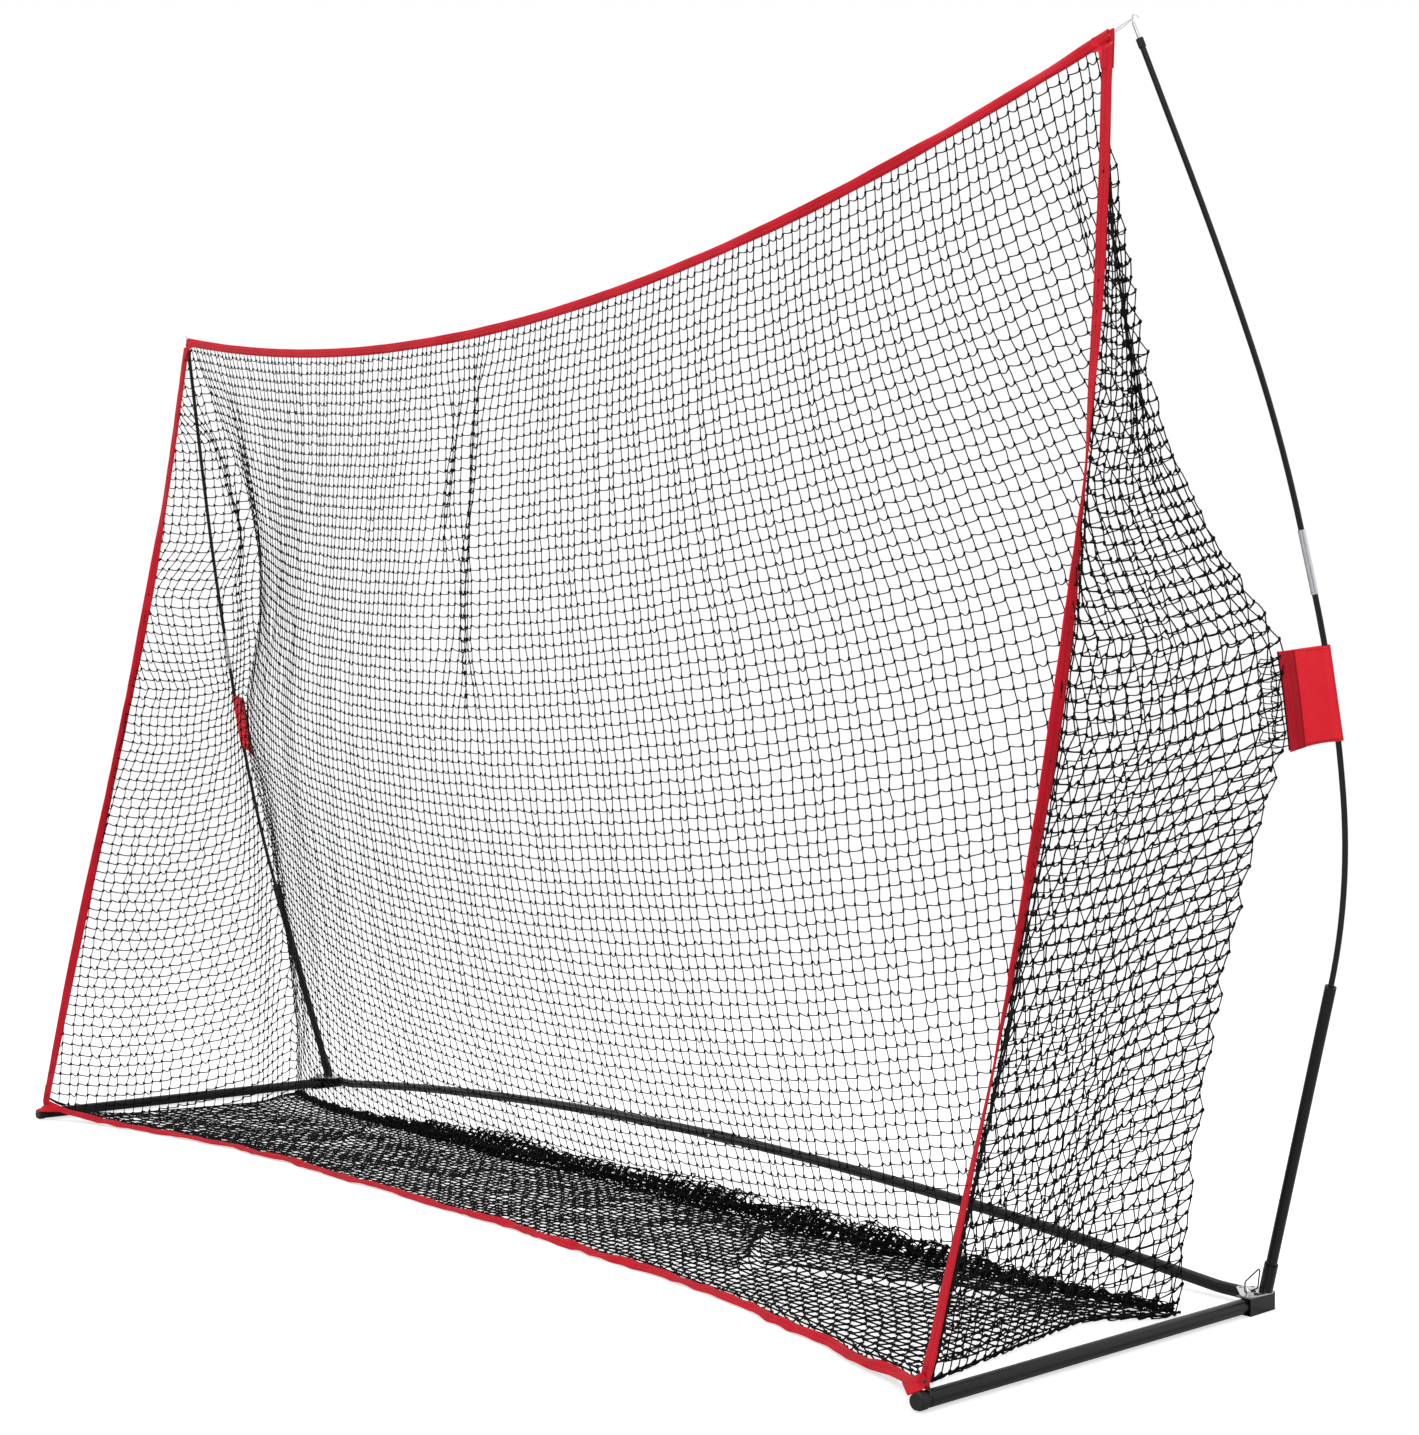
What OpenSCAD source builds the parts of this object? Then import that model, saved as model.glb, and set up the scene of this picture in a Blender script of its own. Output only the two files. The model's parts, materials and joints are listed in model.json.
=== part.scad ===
/* [Frame] */
// Width over the two side bars at their front ends
net_width = 3048; // [2400:1:3600]
// Depth from the front of the end caps to the back of the corner brackets
frame_depth = 914; // [700:1:1100]
// Outside diameter of the side bars
side_bar_d = 25.4; // [20:0.1:32]
// Outside diameter of the rear bar
rear_bar_d = 22.2; // [18:0.1:25]
// Wall of every steel tube
tube_wall = 1.4; // [1:0.1:2]
// How far the middle of the rear bar is bowed up above its ends
rear_bar_rise = 76; // [20:1:140]
// Distance of the joint in the rear bar from the middle of the frame
joint_x = 130; // [0:1:200]
// Angle by which the net draws each side bar inwards
toe_in = 1.3; // [0:0.1:3]

/* [Poles] */
// Outside diameter of the steel upright tubes
upright_d = 19; // [16:0.1:22]
// Length of an upright tube, from its seat in the socket to its top
upright_len = 575; // [450:1:700]
// Diameter of the fibreglass rods
rod_d = 9.5; // [8:0.1:11]
// Length of the lower rod that shows between the upright and the ferrule
lower_rod_len = 660; // [500:1:800]
// Length of the ferrule that joins the two rods
ferrule_len = 105; // [60:1:140]
// Outside diameter of the ferrule
ferrule_d = 12; // [11.5:0.1:14]
// Length of the upper rod above the ferrule
upper_rod_len = 822; // [650:1:950]
// Lean of the uprights away from the middle of the net
lean_out = 17.5; // [10:0.1:22]
// Lean of the uprights towards the front
lean_forward = 9; // [2:0.1:14]
// Turn of the plane in which each pole bows, about its upright
bow_turn = 15.7; // [0:0.5:20]
// Bend of the lower half of the lower rod
bend_1 = 15.2; // [8:0.1:18]
// Bend of the upper half of the lower rod
bend_2 = 7.7; // [4:0.1:12]
// Bend of the lower part of the upper rod
bend_3 = 6.4; // [3:0.1:9]
// Bend of the middle part of the upper rod
bend_4 = 2.5; // [1:0.1:5]

/* [Corners] */
// Thickness of the folded steel of the corner brackets
bracket_wall = 1.8; // [1.2:0.1:2.5]
// Length of a corner bracket from front to back
bracket_len = 86; // [80:1:100]
// Thickness of the corner plates
plate_t = 2.5; // [1.5:0.1:4]
// Diameter of the lock pins on which the side bars turn
lock_pin_d = 8; // [6:0.1:10]
// Diameter of the wire of the bails
bail_wire_d = 2.4; // [1.6:0.1:3]
// Outside diameter of the sockets for the uprights
socket_d = 23.5; // [22:0.1:27]
// Length of a socket along its upright
socket_len = 56; // [40:1:80]
// Running clearance between round pieces, on the radius
fit_gap = 0.15; // [0.05:0.05:0.3]

/* [Net] */
// Height of the middle of the top trim above the ground
trim_sag_z = 1907; // [1700:1:2050]
// Width of the ribbon that binds the edges of the net
trim_w = 22; // [15:1:35]
// Thickness of the folded ribbon
trim_t = 2.4; // [1.5:0.1:4]
// How far the middle of the bottom trim is drawn back from its ends
trim_draw = 205; // [100:1:300]
// How far in front of the rear bar the back net reaches the ground
crease_in = 205; // [140:1:280]
// Width of a strand of the coarse stand-in mesh
strand_w = 5; // [3:0.5:8]
// Thickness of a strand of the coarse stand-in mesh
strand_t = 3; // [2:0.5:5]
// Gaps of the stand-in mesh across the back and the floor
gaps_across = 17; // [9:2:21]
// Gaps of the stand-in mesh up the back and the sides
gaps_up = 11; // [7:1:13]
// Gaps of the stand-in mesh from the front to the back of each side
gaps_side = 5; // [3:1:7]
// Gaps of the stand-in mesh from the front to the back of the floor
gaps_floor = 3; // [2:1:5]

/* [Pockets] */
// Height of the red pocket that holds the net to each pole
pocket_h = 156; // [110:1:200]
// Reach of a pocket from its rod to the net
pocket_reach = 78; // [55:1:110]
// Thickness of the two sewn layers of a pocket
pocket_t = 3; // [2:0.1:5]
// Width of the doubled band along the inner edge of a pocket
band_w = 22; // [12:1:30]

/* [Hidden] */
$fn = 48;
arc_fn = 360;

// Corner brackets, plates and pins, from the axis of the side bar at the pin and the axis of the rear bar
side_bar_gap = 0.3;
side_bar_z = bracket_wall + side_bar_gap + side_bar_d / 2;
bracket_h = 2 * side_bar_z;
bracket_back = 14;
bracket_front = bracket_len - bracket_back;
pin_y = -(bracket_front - 15);
web_x = side_bar_d / 2 + 0.5;
bracket_inner = side_bar_d / 2 + 2.3;
back_round = 11;
cross_wall_y = pin_y + side_bar_d / 2 + 4;
plate_top = bracket_h + plate_t;
pin_hole_d = lock_pin_d + 2 * fit_gap;
leg_len = frame_depth - bracket_back + pin_y;
rear_y = frame_depth / 2 - bracket_back;
corner_x = net_width / 2 - side_bar_d / 2 + leg_len * sin(toe_in);

// Rear bar: level ends under the corner plates, a short bend, then one long arc
rear_bar_z = bracket_h - rear_bar_d / 2;
rear_bar_end = corner_x - bracket_inner;
rear_level = 60;
rear_angle = 2 * atan(rear_bar_rise / (rear_bar_end - rear_level));
rear_bend_r = 300;
rear_arc_r = (rear_bar_end - rear_level) / sin(rear_angle) - rear_bend_r;
sleeve_d = rear_bar_d + 2 * tube_wall + 2 * fit_gap;
sleeve_len = 88;
joint_angle = asin(joint_x / rear_arc_r);
joint_z = rear_bar_z + rear_bar_rise - rear_arc_r * (1 - cos(joint_angle));
button_x = -29;
rivet_x = 29;
button_d = 6.4;
button_stand = 2.6;
button_travel = 3.2;

// Poles: the stations of a pole in its own plane, as [length, bend]
lower_half = lower_rod_len / 2;
tip_len = 222;
upper_half = (upper_rod_len - tip_len) / 2;
seat_h = 6;
foot = [8, -14, plate_top];
stations = [
    [upright_len + seat_h, 0],
    [lower_half, bend_1],
    [lower_half, bend_2],
    [ferrule_len, 0],
    [upper_half, bend_3],
    [upper_half, bend_4],
    [tip_len, 0],
];
function turned(k) = k == 0 ? 0 : turned(k - 1) + stations[k - 1][1];
function reach(len, bend) = bend == 0 ? len : 2 * len * sin(bend / 2) / (bend * PI / 180);
function hop(k, part) =
    let (bend = stations[k][1] * part, way = turned(k) + bend / 2)
    reach(stations[k][0] * part, bend) * [sin(way), cos(way)];
function station(k) = k == 0 ? [0, 0] : station(k - 1) + hop(k - 1, 1);
function turn_x(v, a) = [v[0], v[1] * cos(a) - v[2] * sin(a), v[1] * sin(a) + v[2] * cos(a)];
function turn_y(v, a) = [v[0] * cos(a) + v[2] * sin(a), v[1], v[2] * cos(a) - v[0] * sin(a)];
function turn_z(v, a) = [v[0] * cos(a) - v[1] * sin(a), v[0] * sin(a) + v[1] * cos(a), v[2]];
function lean(v) = turn_y(turn_x(turn_z(v, bow_turn), lean_forward), lean_out);
function pole_point(k, part) =
    let (p = station(k) + hop(k, part))
    [corner_x, rear_y, 0] + foot + lean([-p[0], 0, p[1]]);
upright_id = upright_d - 2 * tube_wall;
rod_tail = 120;
collar_d = rod_d + 2.5;
collar_len = 13;
tip_pin_d = 5.5;
tip_pin_len = 33;

// Net: corners and edges of the right half, as points from the middle of the object
pole_tip = pole_point(6, 1);
top_corner = pole_tip + [-27, -22, 17];
front_y = -frame_depth / 2;
leg_end_x = net_width / 2 - side_bar_d / 2;
low_corner = [leg_end_x, front_y + 22, 41];
pocket_part = 0.485;
pocket_mid = pole_point(2, pocket_part);
pocket_turn = 15;
hold = pocket_mid - pocket_reach * [cos(pocket_turn), sin(pocket_turn), 0];
ground_z = strand_t / 2 + 0.3;
rear_foot = [corner_x - 71, rear_y - 163, strand_w / 2 + 1.8];
edge_x = corner_x - 36;
pull_up = 480;
pull_down = 800;
function mix(a, b, t) = a + (b - a) * t;
function pull(z) =
    let (d = z > hold[2] ? (z - hold[2] - pocket_h / 2) / pull_up : (hold[2] - pocket_h / 2 - z) / pull_down)
    d <= 0 ? 1 : d >= 1 ? 0 : pow(1 - d, 1.6);
function edge_y(z) =
    z > hold[2]
    ? mix(hold[1], top_corner[1], pow((z - hold[2]) / (top_corner[2] - hold[2]), 1.35))
    : mix(rear_foot[1], hold[1], pow(max(z - rear_foot[2], 0) / (hold[2] - rear_foot[2]), 1.8));
function corner_ease(z) = pow(max(0, (z - hold[2]) / (top_corner[2] - hold[2])), 6);
function foot_ease(z) = pow(max(0, 1 - z / 600), 3);
// Rear edge of a side of the net, where it turns into the back, v from the ground up
function rear_edge(v) =
    let (z = mix(rear_foot[2], top_corner[2], v))
    [
        mix(edge_x, hold[0], pull(z)) + (top_corner[0] - edge_x) * corner_ease(z)
        + (rear_foot[0] - edge_x) * foot_ease(z),
        edge_y(z),
        z
    ];
// Side trim, v from the ground up: bowed outwards and back
function side_edge(v) =
    mix(low_corner, top_corner, v) + [34 * sin(180 * pow(v, 0.9)), 46 * sin(180 * pow(v, 1.4)), 0];
// Top trim, u from -1 at the left to 1 at the right
function top_edge(u) =
    [u * top_corner[0], top_corner[1] + 8 * (1 - u * u), mix(trim_sag_z, top_corner[2], u * u)];
// Bottom trim
function bottom_edge(u) =
    [
        u * low_corner[0],
        low_corner[1] + trim_draw * (1 - pow(abs(u), 3.5)),
        mix(ground_z, low_corner[2], pow(abs(u), 16))
    ];
// Line along which the back meets the floor
function crease(u) =
    [
        u * rear_foot[0],
        mix(rear_y - crease_in, rear_foot[1], pow(abs(u), 6)),
        rear_foot[2]
    ];
// Lower edge of a side on the ground, from a front corner to the back as w goes from 0 to 1
function hem(w, front) =
    mix(front, rear_foot, w)
    + [-120 * pow(sin(180 * w), 1.2), 0, (rear_foot[2] - mix(front[2], rear_foot[2], w)) * min(1, 5 * w)];
net_low = side_edge(0.022);
floor_part = 0.975;
function flip(p, s) = [s * p[0], p[1], p[2]];
// Surfaces between four edges, as grids of knots
// Back: it hangs from the top trim, sweeps back to the crease and is drawn out to the pockets
function hung(u, v) =
    let (low = crease(u), high = top_edge(u))
    [
        mix(low[0], high[0], v),
        mix(high[1], low[1], pow(1 - v, 2.2)) - 30 * (1 - u * u) * sin(180 * v),
        mix(low[2], high[2], v)
    ];
function back_knot(u, v) =
    hung(u, v) + pow(abs(u), 3) * flip(rear_edge(v) - hung(1, v), sign(u));
function side_knot(w, v) =
    let (
        front = side_edge(mix(0.022, 1, v)),
        rear = rear_edge(v),
        low = hem(w, net_low),
        flat = mix(mix(net_low, rear_foot, w), top_corner, v)
    )
    mix(front, rear, w) + mix(low, top_corner, v) - flat;
function floor_knot(u, w) =
    let (
        a = (u + 1) / 2,
        corner = bottom_edge(floor_part),
        front = bottom_edge(floor_part * u),
        back = crease(u),
        side = hem(w, corner),
        flat = mix(mix(flip(corner, -1), corner, a), mix(crease(-1), crease(1), a), w),
        p = mix(flip(side, -1), side, a) + mix(front, back, w) - flat
    )
    [p[0], p[1], mix(front[2], back[2], min(1, 3 * w))];

// Places its children at the right corner, or mirrored at the left one
module at_side(side) {
    mirror([side == "left" ? 1 : 0, 0, 0]) children();
}

module at_corner(side) {
    at_side(side) translate([corner_x, rear_y, 0]) children();
}

module at_pin(side) {
    at_corner(side) translate([0, pin_y, 0]) children();
}

// Follows a side bar: +X runs along it, from its pin to its front end
module at_leg(side) {
    at_pin(side) translate([0, 0, side_bar_z]) rotate([0, 0, -90 - toe_in]) children();
}

// Follows a pole: +Z runs up it from station k
module at_pole(side, k) {
    at_corner(side) translate(foot) rotate([0, lean_out, 0]) rotate([lean_forward, 0, 0])
        rotate([0, 0, bow_turn]) translate([-station(k)[0], 0, station(k)[1]])
            rotate([0, -turned(k), 0]) children();
}

// Hairline ring that ties two lengths of rod together at station k
module weld(side, k) {
    at_pole(side, k) translate([0, 0, -weld_len / 2]) cylinder(h = weld_len, d = rod_d + weld_step);
}

weld_len = 1.6;
weld_step = 0.1;

// One bent length of rod or tube from station k
module bent(side, k, d) {
    bend = stations[k][1];
    r = stations[k][0] / (bend * PI / 180);
    at_pole(side, k) translate([-r, 0, 0]) rotate([90, 0, 0])
        rotate_extrude(angle = bend, $fn = arc_fn) translate([r, 0]) circle(d = d, $fn = 48);
}

module arc_tube(r, angle, d) {
    rotate_extrude(angle = angle, $fn = arc_fn) translate([r, 0]) difference() {
        circle(d = d, $fn = 48);
        circle(d = d - 2 * tube_wall, $fn = 48);
    }
}

module tube(len, d, wall) {
    difference() {
        cylinder(h = len, d = d);
        translate([0, 0, -1]) cylinder(h = len + 2, d = d - 2 * wall);
    }
}

// One half of the rear bar, on the right, from the middle of the frame to its end
module rear_half(start) {
    level_x = rear_bar_end - rear_level;
    tilt = [level_x - rear_bend_r * sin(rear_angle), rear_bar_z + rear_bend_r * (1 - cos(rear_angle))];
    union() {
        union() {
            crown_arc(start, rear_angle);
            translate([tilt[0], rear_y, tilt[1]]) rotate([0, 90 + rear_angle, 0])
                translate([0, 0, -weld_len / 2])
                    tube(weld_len, rear_bar_d + weld_step, tube_wall + weld_step);
        }
        union() {
            translate([level_x, rear_y, rear_bar_z + rear_bend_r]) rotate([90, 0, 0])
                rotate([0, 0, -90 - rear_angle]) arc_tube(rear_bend_r, rear_angle, rear_bar_d);
            translate([level_x - weld_len / 2, rear_y, rear_bar_z]) rotate([0, 90, 0])
                tube(weld_len, rear_bar_d + weld_step, tube_wall + weld_step);
        }
        translate([level_x, rear_y, rear_bar_z]) rotate([0, 90, 0]) tube(rear_level, rear_bar_d, tube_wall);
    }
}

// Part of the long arc of the rear bar, between two angles from its crown
module crown_arc(from, to) {
    translate([0, rear_y, rear_bar_z + rear_bar_rise - rear_arc_r]) rotate([90, 0, 0])
        rotate([0, 0, 90 - to]) arc_tube(rear_arc_r, to - from, rear_bar_d);
}

// Follows the rear bar at its joint: +X runs along it to the right
module at_joint() {
    translate([joint_x, rear_y, joint_z]) rotate([0, joint_angle, 0]) children();
}

module joint_hole(x, d) {
    at_joint() translate([x, 0, 0]) rotate([90, 0, 0]) cylinder(h = sleeve_d, d = d);
}

module rear_bar(side) {
    color("#1c1c1e") difference() {
        if (side == "right") rear_half(joint_angle);
        if (side == "left") union() {
            at_side(side) rear_half(0);
            union() {
                crown_arc(0, joint_angle);
                translate([-weld_len / 2, rear_y, rear_bar_z + rear_bar_rise]) rotate([0, 90, 0])
                    tube(weld_len, rear_bar_d + weld_step, tube_wall + weld_step);
            }
        }
        if (side == "left") joint_hole(button_x, button_d + 2 * fit_gap);
        if (side == "right") joint_hole(rivet_x, 4);
    }
}

// Sleeve over the joint of the two halves
module bar_sleeve() {
    color("#202022") difference() {
        at_joint() translate([-sleeve_len / 2, 0, 0]) rotate([0, 90, 0])
            tube(sleeve_len, sleeve_d, sleeve_d / 2 - rear_bar_d / 2 - fit_gap);
        joint_hole(button_x, button_d + 2 * fit_gap);
        joint_hole(rivet_x, 4);
    }
}

// Rivet that fixes the sleeve to the right half
module sleeve_rivet() {
    inner = rear_bar_d / 2 - tube_wall;
    color("#303032") at_joint() translate([rivet_x, 0, 0]) rotate([90, 0, 0]) {
        translate([0, 0, inner]) cylinder(h = sleeve_d / 2 - inner, d = 4);
        translate([0, 0, sleeve_d / 2]) cylinder(h = 1.6, d1 = 7, d2 = 4.5);
    }
}

// Sprung button that locks the left half in the sleeve
button_base = rear_bar_d / 2 - tube_wall - 2;

module snap_button() {
    top = sleeve_d / 2 + button_stand;
    color("#b9babd") at_joint() translate([button_x, 0, 0]) rotate([90, 0, 0]) {
        translate([0, 0, button_base]) cylinder(h = 1, d = button_d + 1.6);
        translate([0, 0, button_base]) cylinder(h = top - 1 - button_base, d = button_d);
        translate([0, 0, top - 1]) cylinder(h = 1, d1 = button_d, d2 = button_d - 2);
    }
}

// Leaf spring inside the left half that carries the button
module button_spring() {
    leaf = 0.8;
    reach = 28;
    low = -rear_bar_d / 2 + tube_wall + 0.8;
    color("#9a9ca0") at_joint() translate([button_x, 0, 0]) rotate([90, 0, 0]) {
        translate([-reach, -3.5, button_base - leaf]) cube([reach + 6, 7, leaf]);
        translate([-reach, -3.5, low]) cube([leaf, 7, button_base - low]);
        translate([-reach, -3.5, low]) cube([reach + 6, 7, leaf]);
    }
}

// Folded channel that holds the end of a side bar and carries the upright
module corner_bracket(side) {
    outer = web_x + bracket_wall;
    wide = outer + bracket_inner;
    color("#1b1b1d") at_corner(side) difference() {
        linear_extrude(bracket_h) union() {
            translate([-bracket_inner, -bracket_front]) square([wide, bracket_len - back_round]);
            translate([-bracket_inner, -bracket_front]) square([wide - back_round, bracket_len]);
            translate([outer - back_round, bracket_back - back_round]) circle(r = back_round);
        }
        // Channel for the side bar, open to the front and to the middle of the frame
        translate([-bracket_inner - 1, -bracket_front - 1, bracket_wall])
            cube([web_x + bracket_inner + 1, cross_wall_y + bracket_front + 1, bracket_h - 2 * bracket_wall]);
        // Hollow behind it
        translate([-bracket_inner + bracket_wall, cross_wall_y - 1, bracket_wall])
            cube([web_x + bracket_inner - bracket_wall, bracket_back - 6 - cross_wall_y,
                bracket_h - 2 * bracket_wall]);
        translate([0, pin_y, -1]) cylinder(h = bracket_h + 2, d = pin_hole_d);
        for (r = rivets) translate([r[0], r[1], bracket_h - bracket_wall - 1])
            cylinder(h = bracket_wall + 2, d = rivet_d);
    }
}

rivets = [[7.5, pin_y + 15], [-7, pin_y + 28.5]];
rivet_d = 5;
spare_hole = [-36, -20];
weld_hole = [-25, -1];

// Zinc-plated plate that ties the bracket to the rear bar
module corner_plate(side) {
    lobes = [
        [0, pin_y, 13],
        [spare_hole[0], spare_hole[1], 8.5],
        [weld_hole[0], weld_hole[1], 8],
        [4, -8, 13.5],
    ];
    color("#b4b7bb") at_corner(side) translate([0, 0, bracket_h]) difference() {
        linear_extrude(plate_t) hull() for (l = lobes) translate([l[0], l[1]]) circle(r = l[2]);
        translate([0, pin_y, -1]) cylinder(h = plate_t + 2, d = pin_hole_d);
        translate([spare_hole[0], spare_hole[1], -1]) cylinder(h = plate_t + 2, d = pin_hole_d);
        translate([weld_hole[0], weld_hole[1], -1]) cylinder(h = plate_t + 2, d = 6.5);
        for (r = rivets) translate([r[0], r[1], -1]) cylinder(h = plate_t + 2, d = rivet_d);
    }
}

// Two domed rivets through the plate and the top of the bracket
module plate_rivets(side) {
    dome = 3;
    color("#161618") at_corner(side) for (r = rivets) translate([r[0], r[1], 0]) {
        translate([0, 0, bracket_h - bracket_wall]) cylinder(h = bracket_wall + plate_t, d = rivet_d);
        translate([0, 0, plate_top]) intersection() {
            translate([0, 0, dome - 6.2]) sphere(r = 6.2);
            cylinder(h = dome + 1, r = 6);
        }
    }
}

// Socket for the upright, welded to the corner plate
module upright_socket(side) {
    color("#1d1d1f") difference() {
        at_pole(side, 0) difference() {
            translate([0, 0, -12]) cylinder(h = socket_len + 12, d = socket_d);
            translate([0, 0, seat_h]) cylinder(h = socket_len, d = upright_d + 2 * fit_gap);
        }
        at_corner(side) translate([foot[0] - 40, foot[1] - 40, plate_top - 40]) cube([80, 80, 40]);
    }
}

// Steel tube of the upright
module upright_tube(side) {
    color("#222224") at_pole(side, 0) translate([0, 0, seat_h]) difference() {
        cylinder(h = upright_len, d = upright_d);
        translate([0, 0, -1]) cylinder(h = upright_len + 2, d = upright_id);
    }
}

// Plastic bush that centres the rod in the end of the upright
module rod_bush(side) {
    depth = 30;
    color("#101011") at_pole(side, 1) difference() {
        union() {
            translate([0, 0, -depth]) cylinder(h = depth, d = upright_id);
            cylinder(h = 2.5, d = upright_d);
        }
        translate([0, 0, -depth - 1]) cylinder(h = depth + 5, d = rod_d + 2 * fit_gap);
    }
}

module rod_lower(side) {
    color("#1a1a1c") union() {
        union() {
            at_pole(side, 1) translate([0, 0, -rod_tail]) cylinder(h = rod_tail, d = rod_d);
            weld(side, 1);
        }
        union() {
            bent(side, 1, rod_d);
            weld(side, 2);
        }
        union() {
            at_pole(side, 3) cylinder(h = ferrule_len / 2, d = rod_d);
            weld(side, 3);
        }
        bent(side, 2, rod_d);
    }
}

module rod_upper(side) {
    color("#1a1a1c") union() {
        union() {
            at_pole(side, 3) translate([0, 0, ferrule_len / 2]) cylinder(h = ferrule_len / 2, d = rod_d);
            weld(side, 4);
        }
        union() {
            bent(side, 4, rod_d);
            weld(side, 5);
        }
        union() {
            at_pole(side, 6) cylinder(h = tip_len, d = rod_d);
            weld(side, 6);
        }
        bent(side, 5, rod_d);
    }
}

// Steel ferrule over the ends of both rods
module ferrule(side) {
    color("#aeb1b5") at_pole(side, 3) difference() {
        cylinder(h = ferrule_len, d = ferrule_d);
        translate([0, 0, -1]) cylinder(h = ferrule_len + 2, d = rod_d + 2 * fit_gap);
    }
}

// Black cap on the end of the upper rod
module tip_collar(side) {
    color("#141415") at_pole(side, 6) translate([0, 0, tip_len - collar_len]) difference() {
        cylinder(h = collar_len + 2, d = collar_d);
        translate([0, 0, -1]) cylinder(h = collar_len + 1, d = rod_d);
        cylinder(h = collar_len + 5, d = tip_pin_d);
    }
}

// Bright pin with an open hook at its top, which takes the loop of the net
module tip_hook(side) {
    wire = 2.2;
    bend = 5;
    color("#b6b9bd") at_pole(side, 6) translate([0, 0, tip_len]) {
        cylinder(h = tip_pin_len - 4, d = tip_pin_d);
        translate([0, 0, tip_pin_len - 4]) cylinder(h = 3, d1 = tip_pin_d, d2 = wire);
        translate([0, 0, tip_pin_len - 2]) cylinder(h = 4, d = wire);
        translate([bend, 0, tip_pin_len + 2]) rotate([90, 0, 0]) rotate([0, 0, 0])
            rotate_extrude(angle = 180) translate([bend, 0]) circle(d = wire);
        translate([2 * bend, 0, tip_pin_len - 1]) cylinder(h = 3, d = wire);
    }
}

// Steel tube of a side bar, rounded behind its pin
module side_bar(side) {
    tail = side_bar_d / 2;
    cap_stand = cap_knob_len + cap_neck_len;
    color("#1c1c1e") at_leg(side) difference() {
        translate([-tail, 0, 0]) rotate([0, 90, 0]) cylinder(h = leg_len - cap_stand + tail, d = side_bar_d);
        translate([-tail - 1, 0, 0]) rotate([0, 90, 0])
            cylinder(h = leg_len + tail, d = side_bar_d - 2 * tube_wall);
        translate([0, 0, -side_bar_d]) cylinder(h = 2 * side_bar_d, d = pin_hole_d);
        // Tail rounded so that it turns inside the bracket
        translate([-tail - 2, -tail - 2, -side_bar_d]) difference() {
            cube([tail + 2, 2 * tail + 4, 2 * side_bar_d]);
            translate([tail + 2, tail + 2, -1]) cylinder(h = 2 * side_bar_d + 2, r = tail - 0.1);
        }
    }
}

cap_knob_len = 19;
cap_neck_len = 7;
cap_neck_d = 18;
cap_d = side_bar_d + 2;

// Rounded plastic cap with a neck for the net's elastic loop
module end_cap(side) {
    plug = 25;
    edge = 7;
    seat = leg_len - cap_knob_len - cap_neck_len;
    color("#0f0f10") at_leg(side) translate([seat, 0, 0]) rotate([0, 90, 0]) {
        translate([0, 0, -plug]) cylinder(h = plug, d = side_bar_d - 2 * tube_wall);
        cylinder(h = 1.5, d = side_bar_d);
        cylinder(h = cap_neck_len + 1, d = cap_neck_d);
        translate([0, 0, cap_neck_len]) rotate_extrude() union() {
            square([cap_d / 2 - 2, cap_knob_len]);
            translate([0, 2]) square([cap_d / 2, cap_knob_len - edge - 2]);
            translate([cap_d / 2 - 2, 2]) circle(r = 2);
            difference() {
                translate([cap_d / 2 - edge, cap_knob_len - edge]) circle(r = edge);
                translate([-cap_d, 0]) square([cap_d, 2 * cap_knob_len]);
            }
        }
    }
}

// Elastic cord from the neck of the cap up to the corner of the net
module corner_loop(side) {
    cord = 3.2;
    ring = cap_neck_d / 2 + cord / 2 + 0.3;
    up = low_corner[2] - side_bar_z - ring;
    color("#121213") at_leg(side) translate([leg_len - cap_knob_len - cap_neck_len / 2 + 0.8, 0, 0])
        rotate([0, 90, 0]) {
            rotate([0, 0, -90]) rotate_extrude(angle = 180) translate([ring, 0]) circle(d = cord);
            for (s = [-1, 1]) translate([0, s * ring, 0]) rotate([0, -90, 0]) cylinder(h = up, d = cord);
            translate([-up, 0, 0]) rotate([0, 0, 90]) rotate_extrude(angle = 180)
                translate([ring, 0]) circle(d = cord);
        }
}

// Lock pin with its head above the corner plate
module lock_pin(side) {
    color("#c3c6ca") at_pin(side) difference() {
        union() {
            translate([0, 0, 0.6]) cylinder(h = 1.5, d1 = lock_pin_d - 2, d2 = lock_pin_d);
            translate([0, 0, 2.1]) cylinder(h = bail_z - 2.1, d = lock_pin_d);
            translate([0, 0, plate_top + 0.2]) cylinder(h = bail_z - plate_top - 0.2, d = head_d);
            translate([0, 0, bail_z]) sphere(d = head_d);
        }
        translate([0, 0, bail_z]) rotate([90, 0, 0])
            cylinder(h = 2 * head_d, d = bail_wire_d + 0.6, center = true);
    }
}

head_d = 11;
bail_z = plate_top + 6;
bail = [[-10, 0], [-9, 18], [39, 35], [31, 0]];
bail_bend = 4;

// Wire bail through the head of the pin, swung up beside the socket
function unit(v) = v / max(norm(v), 1e-6);
function bail_way(i) = unit(bail[(i + 1) % 4] - bail[i % 4]);
function bail_turn(i) =
    let (a = bail_way(i + 3), b = bail_way(i))
    atan2(a[0] * b[1] - a[1] * b[0], a * b);
function bail_cut(i) = bail_bend * tan(abs(bail_turn(i)) / 2);

module bail_side(i) {
    a = bail[i] + bail_cut(i) * bail_way(i);
    b = bail[(i + 1) % 4] - bail_cut((i + 1) % 4) * bail_way(i);
    translate([0, a[0], a[1]]) rotate([-atan2(b[0] - a[0], b[1] - a[1]), 0, 0]) union() {
        cylinder(h = norm(b - a), d = bail_wire_d);
        for (z = [0, norm(b - a)]) translate([0, 0, z - 0.25]) cylinder(h = 0.5, d = bail_wire_d + 0.06);
    }
}

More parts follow.
